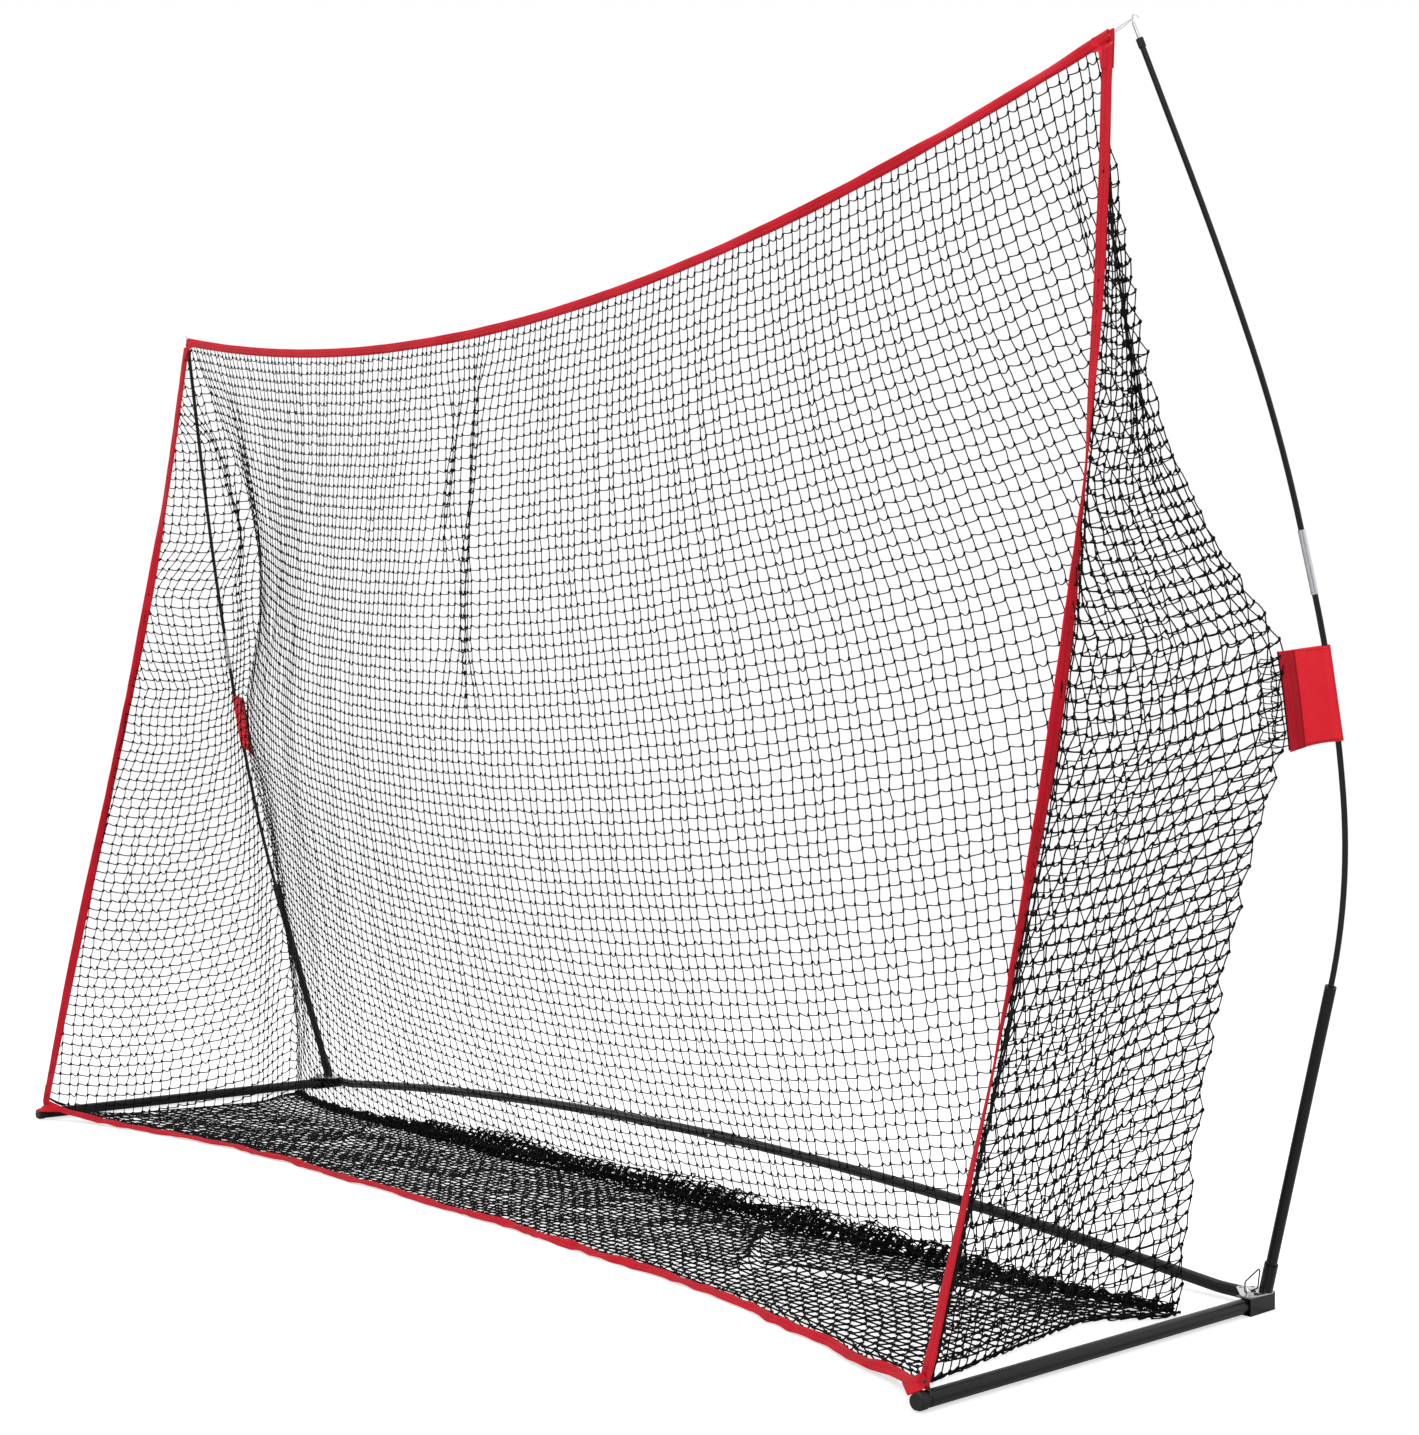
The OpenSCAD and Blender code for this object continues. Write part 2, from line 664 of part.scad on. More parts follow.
module bail_corner(i) {
    way = bail_way(i + 3);
    s = sign(bail_turn(i));
    c = bail[i] - bail_cut(i) * way + bail_bend * s * [-way[1], way[0]];
    translate([0, c[0], c[1]]) rotate([90, 0, 90]) rotate([0, 0, atan2(-s * way[0], s * way[1])])
        rotate_extrude(angle = bail_turn(i), $fn = 96) translate([bail_bend, 0]) circle(d = bail_wire_d);
}

module lock_bail(side) {
    color("#0d0d0e") at_pin(side) translate([0, 0, bail_z]) union() {
        for (i = [0:3]) bail_side(i);
        for (i = [0:3]) bail_corner(i);
    }
}

// A sheet of square mesh: knots is a grid of points, joined by flat strands
module mesh(knots) {
    nu = len(knots) - 1;
    nv = len(knots[0]) - 1;
    function along_u(i, j) = unit(knots[min(i + 1, nu)][j] - knots[max(i - 1, 0)][j]);
    function along_v(i, j) = unit(knots[i][min(j + 1, nv)] - knots[i][max(j - 1, 0)]);
    signs = [[-1, -1], [1, -1], [1, 1], [-1, 1]];
    points = [
        for (i = [0:nu], j = [0:nv])
            let (du = along_u(i, j), dv = along_v(i, j), n = unit(cross(du, dv)))
            for (c = signs, s = [1, -1])
                knots[i][j] + strand_w / 2 * (c[0] * du + c[1] * dv) + s * strand_t / 2 * n
    ];
    function at(i, j, c, s) = ((i * (nv + 1) + j) * 4 + c) * 2 + s;
    function quad(a, b, c, d) = [[a, c, b], [a, d, c]];
    function both(i0, j0, i1, j1, a, b, c, d) = concat(
        quad(at(i0, j0, a, 0), at(i1, j1, b, 0), at(i1, j1, c, 0), at(i0, j0, d, 0)),
        quad(at(i0, j0, d, 1), at(i1, j1, c, 1), at(i1, j1, b, 1), at(i0, j0, a, 1))
    );
    function wall(i0, j0, a, i1, j1, b) =
        quad(at(i0, j0, a, 1), at(i1, j1, b, 1), at(i1, j1, b, 0), at(i0, j0, a, 0));
    faces = [
        for (i = [0:nu], j = [0:nv]) each both(i, j, i, j, 0, 1, 2, 3),
        for (i = [0:nu - 1], j = [0:nv])
            each concat(
                both(i, j, i + 1, j, 1, 0, 3, 2),
                wall(i, j, 1, i + 1, j, 0),
                wall(i + 1, j, 3, i, j, 2)
            ),
        for (i = [0:nu], j = [0:nv - 1])
            each concat(
                quad(at(i, j, 3, 0), at(i, j, 2, 0), at(i, j + 1, 1, 0), at(i, j + 1, 0, 0)),
                quad(at(i, j + 1, 0, 1), at(i, j + 1, 1, 1), at(i, j, 2, 1), at(i, j, 3, 1)),
                wall(i, j, 2, i, j + 1, 1),
                wall(i, j + 1, 0, i, j, 3)
            ),
        for (i = [0:nu]) each concat(wall(i, 0, 0, i, 0, 1), wall(i, nv, 2, i, nv, 3)),
        for (j = [0:nv]) each concat(wall(nu, j, 1, nu, j, 2), wall(0, j, 3, 0, j, 0)),
    ];
    polyhedron(points = points, faces = faces);
}

module net_back() {
    color("#101010") mesh([
        for (i = [0:gaps_across])
            [for (j = [0:gaps_up]) back_knot(2 * i / gaps_across - 1, j / gaps_up)]
    ]);
}

module net_floor() {
    color("#101010") mesh([
        for (i = [0:gaps_across])
            [for (j = [0:gaps_floor]) floor_knot(2 * i / gaps_across - 1, j / gaps_floor)]
    ]);
}

module net_side(side) {
    color("#101010") at_side(side) mesh([
        for (i = [0:gaps_side]) [for (j = [0:gaps_up]) side_knot(i / gaps_side, 0.97 * j / gaps_up)]
    ]);
}

// A ribbon along a line of points, flat in the direction that face() gives at each
module ribbon(line, across) {
    n = len(line) - 1;
    points = [
        for (i = [0:n])
            let (
                way = unit(line[min(i + 1, n)] - line[max(i - 1, 0)]),
                side = unit(across[i] - (across[i] * way) * way),
                out = cross(way, side)
            )
            for (c = [[-1, -1], [1, -1], [1, 1], [-1, 1]])
                line[i] + c[0] * trim_w / 2 * side + c[1] * trim_t / 2 * out
    ];
    faces = concat(
        [[0, 1, 2], [0, 2, 3]],
        [for (i = [0:n - 1], k = [0:3]) each [
            [4 * i + k, 4 * i + 4 + k, 4 * i + 4 + (k + 1) % 4],
            [4 * i + k, 4 * i + 4 + (k + 1) % 4, 4 * i + (k + 1) % 4]
        ]],
        [[4 * n, 4 * n + 2, 4 * n + 1], [4 * n, 4 * n + 3, 4 * n + 2]]
    );
    polyhedron(points = points, faces = faces);
}

trim_steps = 32;

module trim_top() {
    color("#c8202f") ribbon(
        [for (i = [0:trim_steps]) top_edge(2 * i / trim_steps - 1)],
        [for (i = [0:trim_steps]) [0, 0, 1]]
    );
}

module trim_bottom() {
    color("#c8202f") ribbon(
        [for (i = [0:trim_steps]) bottom_edge((2 * i / trim_steps - 1) * 0.987)],
        [for (i = [0:trim_steps]) [0, 1, 0]]
    );
}

module trim_side(side) {
    steps = 24;
    color("#c8202f") at_side(side) ribbon(
        [for (i = [0:steps]) side_edge(0.012 + 0.978 * i / steps)],
        [for (i = [0:steps]) let (a = 90 - 60 * i / steps) [cos(a), sin(a), 0]]
    );
}

// A flat piece of fabric between three points
module gusset(p, t) {
    n = unit(cross(p[1] - p[0], p[2] - p[0])) * t / 2;
    polyhedron(
        points = [p[0] - n, p[1] - n, p[2] - n, p[0] + n, p[1] + n, p[2] + n],
        faces = [[0, 1, 2], [3, 5, 4], [0, 3, 4], [0, 4, 1], [1, 4, 5], [1, 5, 2], [2, 5, 3], [2, 3, 0]]
    );
}

// Doubled fabric at a top corner, between the top trim and the side trim
module top_patch(side) {
    color("#c8202f") at_side(side)
        gusset([top_corner + [2, -1, 3], top_edge(0.95), side_edge(0.955)], 1.6 * trim_t);
}

// Doubled fabric at a bottom corner, with the hole that the elastic loop goes through
module bottom_patch(side) {
    hole_y = front_y + cap_knob_len + cap_neck_len / 2 - 0.8;
    color("#c8202f") at_side(side) union() {
        difference() {
            translate([low_corner[0] - 0.8 * trim_t, 0, 0]) rotate([90, 0, 90]) linear_extrude(1.6 * trim_t)
                polygon([[hole_y - 9, 33], [hole_y + 52, 33], [hole_y + 12, 98], [hole_y - 9, 84]]);
            translate([low_corner[0] - 10, hole_y, low_corner[2]]) rotate([0, 90, 0]) cylinder(h = 20, d = 8);
        }
        gusset([
            [low_corner[0], hole_y + 10, 36],
            [low_corner[0], hole_y + 48, 34],
            bottom_edge(0.975) + [0, 4, 0]
        ], 1.3 * trim_t);
    }
}

// Follows a pocket: +Z up its rod, -X from the rod to the net
module at_pocket(side) {
    at_pole(side, 2) translate([
        -hop(2, pocket_part)[0] * cos(turned(2)) + hop(2, pocket_part)[1] * sin(turned(2)),
        0,
        hop(2, pocket_part)[1] * cos(turned(2)) + hop(2, pocket_part)[0] * sin(turned(2))
    ]) rotate([0, -stations[2][1] * pocket_part, 0]) rotate([0, 0, pocket_turn - bow_turn]) children();
}

module pocket(side) {
    room = rod_d + 3;
    color("#d02331") at_pocket(side) translate([0, 0, -pocket_h / 2]) difference() {
        linear_extrude(pocket_h) union() {
            circle(d = room + 2.4);
            translate([-pocket_reach + band_w, -pocket_t / 2]) square([pocket_reach - band_w, pocket_t]);
        }
        translate([0, 0, -1]) cylinder(h = pocket_h + 2, d = room);
    }
}

// Doubled band along which the net is sewn to a pocket
module pocket_band(side) {
    color("#a81825") at_pocket(side) translate([-pocket_reach, -0.9 * pocket_t, -pocket_h / 2])
        cube([band_w, 1.8 * pocket_t, pocket_h]);
}

// White cord from the corner of the net to the hook at the tip
module tip_loop(side) {
    a = top_corner;
    b = pole_tip + [-6, -9, 34];
    d = b - a;
    color("#e8e8e6") at_side(side) translate(a)
        rotate([0, acos(d[2] / norm(d)), atan2(d[1], d[0])]) cylinder(h = norm(d), d = 2);
}

rear_bar("left");  // rear_bar_left
rear_bar("right");  // rear_bar_right
bar_sleeve();
sleeve_rivet();
snap_button();
button_spring();
corner_bracket("left");  // corner_bracket_left
corner_bracket("right");  // corner_bracket_right
corner_plate("left");  // corner_plate_left
corner_plate("right");  // corner_plate_right
plate_rivets("left");  // plate_rivets_left
plate_rivets("right");  // plate_rivets_right
upright_socket("left");  // upright_socket_left
upright_socket("right");  // upright_socket_right
upright_tube("left");  // upright_tube_left
upright_tube("right");  // upright_tube_right
rod_bush("left");  // rod_bush_left
rod_bush("right");  // rod_bush_right
rod_lower("left");  // rod_lower_left
rod_lower("right");  // rod_lower_right
ferrule("left");  // ferrule_left
ferrule("right");  // ferrule_right
rod_upper("left");  // rod_upper_left
rod_upper("right");  // rod_upper_right
tip_collar("left");  // tip_collar_left
tip_collar("right");  // tip_collar_right
tip_hook("left");  // tip_hook_left
tip_hook("right");  // tip_hook_right
tip_loop("left");  // tip_loop_left
tip_loop("right");  // tip_loop_right
side_bar("left");  // side_bar_left
side_bar("right");  // side_bar_right
end_cap("left");  // end_cap_left
end_cap("right");  // end_cap_right
corner_loop("left");  // corner_loop_left
corner_loop("right");  // corner_loop_right
lock_pin("left");  // lock_pin_left
lock_pin("right");  // lock_pin_right
lock_bail("left");  // lock_bail_left
lock_bail("right");  // lock_bail_right
net_back();
net_floor();
net_side("left");  // net_side_left
net_side("right");  // net_side_right
trim_top();
trim_bottom();
trim_side("left");  // trim_side_left
trim_side("right");  // trim_side_right
top_patch("left");  // top_patch_left
top_patch("right");  // top_patch_right
bottom_patch("left");  // bottom_patch_left
bottom_patch("right");  // bottom_patch_right
pocket("left");  // pocket_left
pocket("right");  // pocket_right
pocket_band("left");  // pocket_band_left
pocket_band("right");  // pocket_band_right
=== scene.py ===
"""Looks of a golf practice net: fine knotted mesh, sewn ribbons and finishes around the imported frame."""
import json
import math

import bpy
import numpy as np
from mathutils import Matrix


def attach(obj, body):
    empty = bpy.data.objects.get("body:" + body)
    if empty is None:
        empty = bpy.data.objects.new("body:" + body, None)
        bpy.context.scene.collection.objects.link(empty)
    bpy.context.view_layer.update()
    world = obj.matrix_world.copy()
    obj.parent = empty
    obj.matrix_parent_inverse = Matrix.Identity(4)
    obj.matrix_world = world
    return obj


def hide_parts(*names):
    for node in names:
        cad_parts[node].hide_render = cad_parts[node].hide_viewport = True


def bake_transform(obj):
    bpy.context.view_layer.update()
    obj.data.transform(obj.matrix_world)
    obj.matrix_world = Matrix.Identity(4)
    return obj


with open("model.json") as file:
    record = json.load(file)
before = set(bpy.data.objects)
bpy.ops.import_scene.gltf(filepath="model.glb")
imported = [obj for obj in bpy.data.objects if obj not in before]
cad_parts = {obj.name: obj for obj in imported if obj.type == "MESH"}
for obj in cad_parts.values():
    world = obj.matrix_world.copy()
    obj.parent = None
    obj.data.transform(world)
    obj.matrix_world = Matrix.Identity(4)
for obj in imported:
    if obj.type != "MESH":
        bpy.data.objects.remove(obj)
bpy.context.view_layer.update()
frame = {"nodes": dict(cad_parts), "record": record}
MM = 0.001


def placed(x, y, z, at):
    """Matrix of an object with these axes, at a point."""
    return Matrix(np.vstack([np.column_stack([x, y, z, at]), [0, 0, 0, 1]]).tolist())


# ---- camera
EYE = (3.3645, -2.5778, 0.899)
YAW, PITCH, ROLL = math.radians(47.51), math.radians(1.99), math.radians(0.93)
ahead = np.array([-math.sin(YAW) * math.cos(PITCH), math.cos(YAW) * math.cos(PITCH), math.sin(PITCH)])
level = np.cross(ahead, [0, 0, 1])
level /= np.linalg.norm(level)
above = np.cross(level, ahead)
right = math.cos(ROLL) * level + math.sin(ROLL) * above
above = math.cos(ROLL) * above - math.sin(ROLL) * level
cam = bpy.data.objects.new("camera", bpy.data.cameras.new("camera"))
bpy.context.scene.collection.objects.link(cam)
cam.matrix_world = placed(right, above, -ahead, EYE)
cam.data.sensor_width = 36
cam.data.lens = 48.217
cam.data.clip_end = 100
bpy.context.scene.camera = cam

# ---- lengths of the part, in mm
DEPTH, WIDTH, SIDE_BAR_D, SIDE_BAR_Z = 914, 3048, 25.4, 14.8
TOE_IN = math.radians(1.3)  # of each side bar
REAR_GAP, PIN_AHEAD = 14, 57  # rear bar from the back of the box, pin of a side bar from the rear bar
LEG = DEPTH - REAR_GAP - PIN_AHEAD
CORNER_X = WIDTH / 2 - SIDE_BAR_D / 2 + LEG * math.sin(TOE_IN)
REAR_Y = DEPTH / 2 - REAR_GAP
PLATE_TOP = 32.1
# Length and bend of each stretch of a pole, from the socket up
STATIONS = [(581, 0), (330, 15.2), (330, 7.7), (105, 0), (300, 6.4), (300, 2.5), (222, 0)]
ROD_D, POCKET_H, POCKET_REACH, BAND_W = 9.5, 156, 78, 22
POCKET_ON, POCKET_TURN = (2, 0.51), 15  # stretch of the pole and share of it, angle to the frame
BOW_TURN, LEAN_FORWARD, LEAN_OUT = 15.7, 9, 17.5
TRIM_W, TRIM_T = 22, 2.4
TWINE = 25.6  # length of one side of a mesh
MIDDLE_Z = 1907  # height of the middle of the top trim
SIDE_BOW = 44  # how far the net pulls a side trim out of line
BOTTOM_BACK = 205  # how far behind its ends the middle of the bottom trim lies
CREASE_BACK = 248  # from the middle of the rear bar to the foot of the back of the net
SIDES = (("left", -1), ("right", 1))
NET_START = 0.007  # share of the side trim below the net
CLEAR = 0.3  # lowest height of what lies on the ground
KNOT_Z = 4.6  # height of the middle of a knot that lies on the ground


def mix(a, b, t):
    return a + (b - a) * t


def ease(t):
    t = np.clip(t, 0, 1)
    return t * t * (3 - 2 * t)


def unit(v):
    return v / np.maximum(np.linalg.norm(v, axis=-1, keepdims=True), 1e-9)


def vec(*parts):
    return np.stack(np.broadcast_arrays(*[np.asarray(p, float) for p in parts]), -1)


def turn(axis, degrees):
    c, s = math.cos(math.radians(degrees)), math.sin(math.radians(degrees))
    i, j = [(1, 2), (2, 0), (0, 1)][axis]
    m = np.eye(3)
    m[i, i] = m[j, j] = c
    m[i, j], m[j, i] = -s, s
    return m


LEAN = turn(1, LEAN_OUT) @ turn(0, LEAN_FORWARD) @ turn(2, BOW_TURN)


def turned(k):
    return sum(bend for _, bend in STATIONS[:k])


def hop(k, part=1.0):
    length, bend = STATIONS[k][0] * part, math.radians(STATIONS[k][1] * part)
    reach = 2 * length * math.sin(bend / 2) / bend if bend else length
    way = math.radians(turned(k)) + bend / 2
    return np.array([reach * math.sin(way), reach * math.cos(way)])


def pole_point(k, part):
    p = sum((hop(i) for i in range(k)), np.zeros(2)) + hop(k, part)
    return np.array([CORNER_X + 8, REAR_Y - 14, PLATE_TOP]) + LEAN @ np.array([-p[0], 0, p[1]])


# Corners of the right half of the net
TIP = pole_point(6, 1)
TOP = TIP + [-41, -26, 13]
LOW = np.array([WIDTH / 2 - SIDE_BAR_D / 2, -DEPTH / 2 + 22, 41])
HOLD = pole_point(*POCKET_ON) - POCKET_REACH * turn(2, POCKET_TURN)[:, 0]
FOOT = np.array([CORNER_X - 71, REAR_Y - 163, 4.3])
EDGE_X = CORNER_X - 36


# ---- surfaces of the net, right half mirrored
def pull(z):
    d = np.where(z > HOLD[2], (z - HOLD[2] - POCKET_H / 2) / 480, (HOLD[2] - POCKET_H / 2 - z) / 800)
    return (1 - np.clip(d, 0, 1)) ** 1.6


def rear_edge(v):
    z = mix(FOOT[2], TOP[2], v)
    t = (z - HOLD[2]) / (TOP[2] - HOLD[2])
    y = np.where(
        z > HOLD[2],
        mix(HOLD[1], TOP[1], np.clip(t, 0, 1) ** 1.6),
        mix(FOOT[1], HOLD[1], np.clip((z - FOOT[2]) / (HOLD[2] - FOOT[2]), 0, 1) ** 1.8),
    )
    x = mix(EDGE_X, HOLD[0], pull(z)) + (TOP[0] - EDGE_X) * np.clip(t, 0, 1) ** 6
    x = x + (FOOT[0] - EDGE_X) * np.clip(1 - z / 600, 0, 1) ** 3
    return vec(x, y, z)


def side_edge(v):
    v = np.asarray(v, float)
    bow = SIDE_BOW * vec(np.sin(np.pi * v ** 0.9), np.sin(np.pi * v ** 1.25), 0 * v)
    return mix(LOW, TOP, v[..., None]) + bow


def top_edge(u):
    return vec(u * TOP[0], TOP[1] + 8 * (1 - u * u), mix(MIDDLE_Z, TOP[2], u * u))


def bottom_edge(u):
    return vec(u * LOW[0], LOW[1] + BOTTOM_BACK * (1 - np.abs(u) ** 3.5), mix(1.8, LOW[2], np.abs(u) ** 16))


def crease(u):
    return vec(u * FOOT[0], mix(REAR_Y - CREASE_BACK, FOOT[1], np.abs(u) ** 6), FOOT[2])


NET_LOW = side_edge(NET_START)


def hem(w, front=NET_LOW):
    w = np.asarray(w, float)
    line = mix(front, FOOT, w[..., None])
    inward = -(64 + 36 * w) * ease(w / 0.14) * ease((0.99 - w) / 0.26)
    return line + vec(inward, 0 * w, (FOOT[2] - line[..., 2]) * np.minimum(1, 8 * w))


def hung(u, v):
    low, high = crease(u), top_edge(u)
    y = mix(high[..., 1], low[..., 1], (1 - v) ** 2.2) - 30 * (1 - u * u) * np.sin(np.pi * v)
    return vec(mix(low[..., 0], high[..., 0], v), y, mix(low[..., 2], high[..., 2], v))


def flip(p, s):
    return p * np.stack([s, np.ones_like(s), np.ones_like(s)], -1)


def back_point(u, v):
    bulge = rear_edge(v) - hung(np.ones_like(v), v)
    return hung(u, v) + (np.abs(u) ** 3)[..., None] * flip(bulge, np.sign(u))


def side_point(w, v):
    front, rear = side_edge(mix(NET_START, 1, v)), rear_edge(v)
    w, v = w[..., None], v[..., None]
    return mix(front, rear, w) + mix(hem(w[..., 0]), TOP, v) - mix(mix(NET_LOW, FOOT, w), TOP, v)


def sheet_point(q, v):
    """The net round the frame: q is -2 and 2 at the side trims, -1 and 1 at the rear edges."""
    q, v = np.broadcast_arrays(np.asarray(q, float), np.asarray(v, float))
    side = np.sign(q)
    around = flip(side_point(np.clip(2 - np.abs(q), 0, 1), v), side)
    return np.where((np.abs(q) > 1)[..., None], around, back_point(np.clip(q, -1, 1), v))


# ---- noise
def drift(x, y, seed, size=64):
    """Smooth noise from -1 to 1."""
    lattice = np.random.default_rng(seed).uniform(-1, 1, (size, size))
    x, y = np.asarray(x, float), np.asarray(y, float)
    xi, yi = np.floor(x).astype(int), np.floor(y).astype(int)
    fx, fy = ease(x - xi), ease(y - yi)
    x0, x1 = xi % size, (xi + 1) % size
    row = [mix(lattice[x0, j % size], lattice[x1, j % size], fx) for j in (yi, yi + 1)]
    return mix(row[0], row[1], fy)


# ---- mesh builders
def grid_faces(rows, cols, wrap_rows=False, wrap_cols=False):
    """Faces over points that are numbered row by row."""
    i = np.arange(rows if wrap_rows else rows - 1)[:, None]
    k = np.arange(cols if wrap_cols else cols - 1)[None]
    i2, k2 = (i + 1) % rows, (k + 1) % cols
    return np.stack([i * cols + k, i * cols + k2, i2 * cols + k2, i2 * cols + k], -1).reshape(-1, 4)


def run_length(line):
    """Length along a line of points, at each of them."""
    return np.concatenate([[0], np.cumsum(np.linalg.norm(np.diff(line, axis=0), axis=-1))])


def new_object(name, verts, faces, material, uv, uv_name="UVMap"):
    """A mesh from points in mm. Each array in faces holds faces of one number of corners."""
    mesh = bpy.data.meshes.new(name)
    verts = np.asarray(verts, float) * MM
    corners = np.concatenate([f.ravel() for f in faces]).astype(np.int32)
    sizes = np.concatenate([np.full(len(f), f.shape[1]) for f in faces]).astype(np.int32)
    mesh.vertices.add(len(verts))
    mesh.vertices.foreach_set("co", verts.astype(np.float32).ravel())
    mesh.loops.add(len(corners))
    mesh.loops.foreach_set("vertex_index", corners)
    mesh.polygons.add(len(sizes))
    starts = np.concatenate([[0], np.cumsum(sizes)[:-1]]).astype(np.int32)
    mesh.polygons.foreach_set("loop_start", starts)
    mesh.polygons.foreach_set("loop_total", sizes)
    mesh.polygons.foreach_set("use_smooth", np.full(len(sizes), True))
    layer = mesh.uv_layers.new(name=uv_name)
    layer.data.foreach_set("uv", np.asarray(uv, np.float32)[corners].ravel())
    mesh.update(calc_edges=True)
    mesh.validate()
    obj = bpy.data.objects.new(name, mesh)
    bpy.context.scene.collection.objects.link(obj)
    mesh.materials.append(material)
    return obj


class Shape:
    """Collects tubes and knots for one piece."""

    def __init__(self):
        self.verts, self.uvs, self.faces, self.count = [], [], {3: [], 4: []}, 0

    def add(self, verts, faces, uv):
        self.verts.append(verts)
        self.uvs.append(np.broadcast_to(uv, (len(verts), 2)))
        for f in faces:
            self.faces[f.shape[1]].append(f + self.count)
        self.count += len(verts)

    def tube(self, line, radius, sides, uv, closed=False):
        n = len(line)
        ahead = np.roll(line, -1, 0) - np.roll(line, 1, 0)
        if not closed:
            ahead[0], ahead[-1] = line[1] - line[0], line[-1] - line[-2]
        ahead = unit(ahead)
        helper = np.where((np.abs(ahead[:, 1]) < 0.9)[:, None], [0.0, 1.0, 0.0], [0.0, 0.0, 1.0])
        a = unit(np.cross(helper, ahead))
        b = np.cross(ahead, a)
        angle = (2 * np.pi * np.arange(sides) / sides)[None, :, None]
        radius = np.broadcast_to(radius, (n,))[:, None, None]
        ring = line[:, None] + radius * (np.cos(angle) * a[:, None] + np.sin(angle) * b[:, None])
        faces = [grid_faces(n, sides, closed, True)]
        if not closed:
            ends = (np.arange(sides)[::-1], (n - 1) * sides + np.arange(sides))
            faces.append(np.array([[e[0], e[j], e[j + 1]] for e in ends for j in range(1, sides - 1)]))
        uv = np.repeat(np.broadcast_to(uv, (n, 2)), sides, 0)
        self.add(ring.reshape(-1, 3), faces, uv)

    def knots(self, at, along, across, out, size, uv):
        """Small barrels, one at each point."""
        rings = []
        for x, r in ((-1, 0), (-0.45, 1), (0.45, 1), (1, 0)):
            for k in range(4 if r else 1):
                t = (k + 0.5) * math.pi / 2
                aside = size[1] * math.cos(t) * across + size[2] * math.sin(t) * out
                rings.append(x * size[0] * along + r * aside)
        verts = at[:, None] + np.stack(rings, 1)
        k = np.arange(4)
        k2 = (k + 1) % 4
        first, last = np.stack([0 * k, 1 + k2, 1 + k], 1), np.stack([9 + 0 * k, 5 + k, 5 + k2], 1)
        caps = np.concatenate([first, last])
        quads = np.stack([1 + k, 1 + k2, 5 + k2, 5 + k], 1)
        base = (np.arange(len(at)) * 10)[:, None, None]
        faces = [(caps + base).reshape(-1, 3), (quads + base).reshape(-1, 4)]
        self.add(verts.reshape(-1, 3), faces, np.repeat(uv, 10, 0))

    def build(self, name, material, uv_name="OFBake"):
        faces = [np.concatenate(f) for f in self.faces.values() if f]
        verts = np.concatenate(self.verts)
        verts[:, 2] = np.maximum(verts[:, 2], CLEAR)
        return new_object(name, verts, faces, material, np.concatenate(self.uvs), uv_name)


# ---- materials
STITCH = 0.004  # length of a stitch, in metres


class Nodes:
    def __init__(self, name):
        self.mat = bpy.data.materials.new(name)
        self.mat.use_nodes = True
        self.tree = self.mat.node_tree
        self.tree.nodes.clear()
        self.out = self.tree.nodes.new("ShaderNodeOutputMaterial")
        self.shader = self.tree.nodes.new("ShaderNodeBsdfPrincipled")
        self.tree.links.new(self.shader.outputs[0], self.out.inputs[0])

    def node(self, kind, **values):
        node = self.tree.nodes.new("ShaderNode" + kind)
        for key, value in values.items():
            if hasattr(node, key):
                setattr(node, key, value)
            else:
                socket = node.inputs[key.replace("_", " ")]
                if isinstance(value, bpy.types.NodeSocket):
                    self.tree.links.new(value, socket)
                else:
                    socket.default_value = value
        return node

    def link(self, a, b):
        self.tree.links.new(a, b)

    def place(self, source="Object", scale=(1, 1, 1)):
        coord = self.node("TexCoord")
        mapping = self.node("Mapping")
        self.link(coord.outputs[source], mapping.inputs["Vector"])
        mapping.inputs["Scale"].default_value = scale
        return mapping.outputs[0]

    def noise(self, vector, scale, detail, rough=0.6):
        return self.node("TexNoise", Vector=vector, Scale=scale, Detail=detail, Roughness=rough).outputs[0]

    def ramp(self, value, low, high, a, b):
        node = self.node("MapRange", Value=value)
        for key, number in zip(("From Min", "From Max", "To Min", "To Max"), (low, high, a, b)):
            node.inputs[key].default_value = number
        return node.outputs[0]

    def math(self, operation, a, b=None):
        node = self.node("Math", operation=operation)
        for i, value in enumerate((a, b)):
            if isinstance(value, bpy.types.NodeSocket):
                self.link(value, node.inputs[i])
            elif value is not None:
                node.inputs[i].default_value = value
        return node.outputs[0]

    def blend(self, factor, a, b):
        node = self.node("Mix", data_type="RGBA")
        self.link(factor, node.inputs[0])
        for i, value in ((6, a), (7, b)):
            if isinstance(value, bpy.types.NodeSocket):
                self.link(value, node.inputs[i])
            else:
                node.inputs[i].default_value = (*value, 1)
        return node.outputs[2]

    def finish(self, colour, rough, height, strength, distance, **others):
        self.link(colour, self.shader.inputs["Base Color"])
        if isinstance(rough, bpy.types.NodeSocket):
            self.link(rough, self.shader.inputs["Roughness"])
        else:
            self.shader.inputs["Roughness"].default_value = rough
        bump = self.node("Bump", Strength=strength, Distance=distance, Height=height)
        self.link(bump.outputs[0], self.shader.inputs["Normal"])
        for key, value in others.items():
            self.shader.inputs[key.replace("_", " ")].default_value = value
        return self.mat


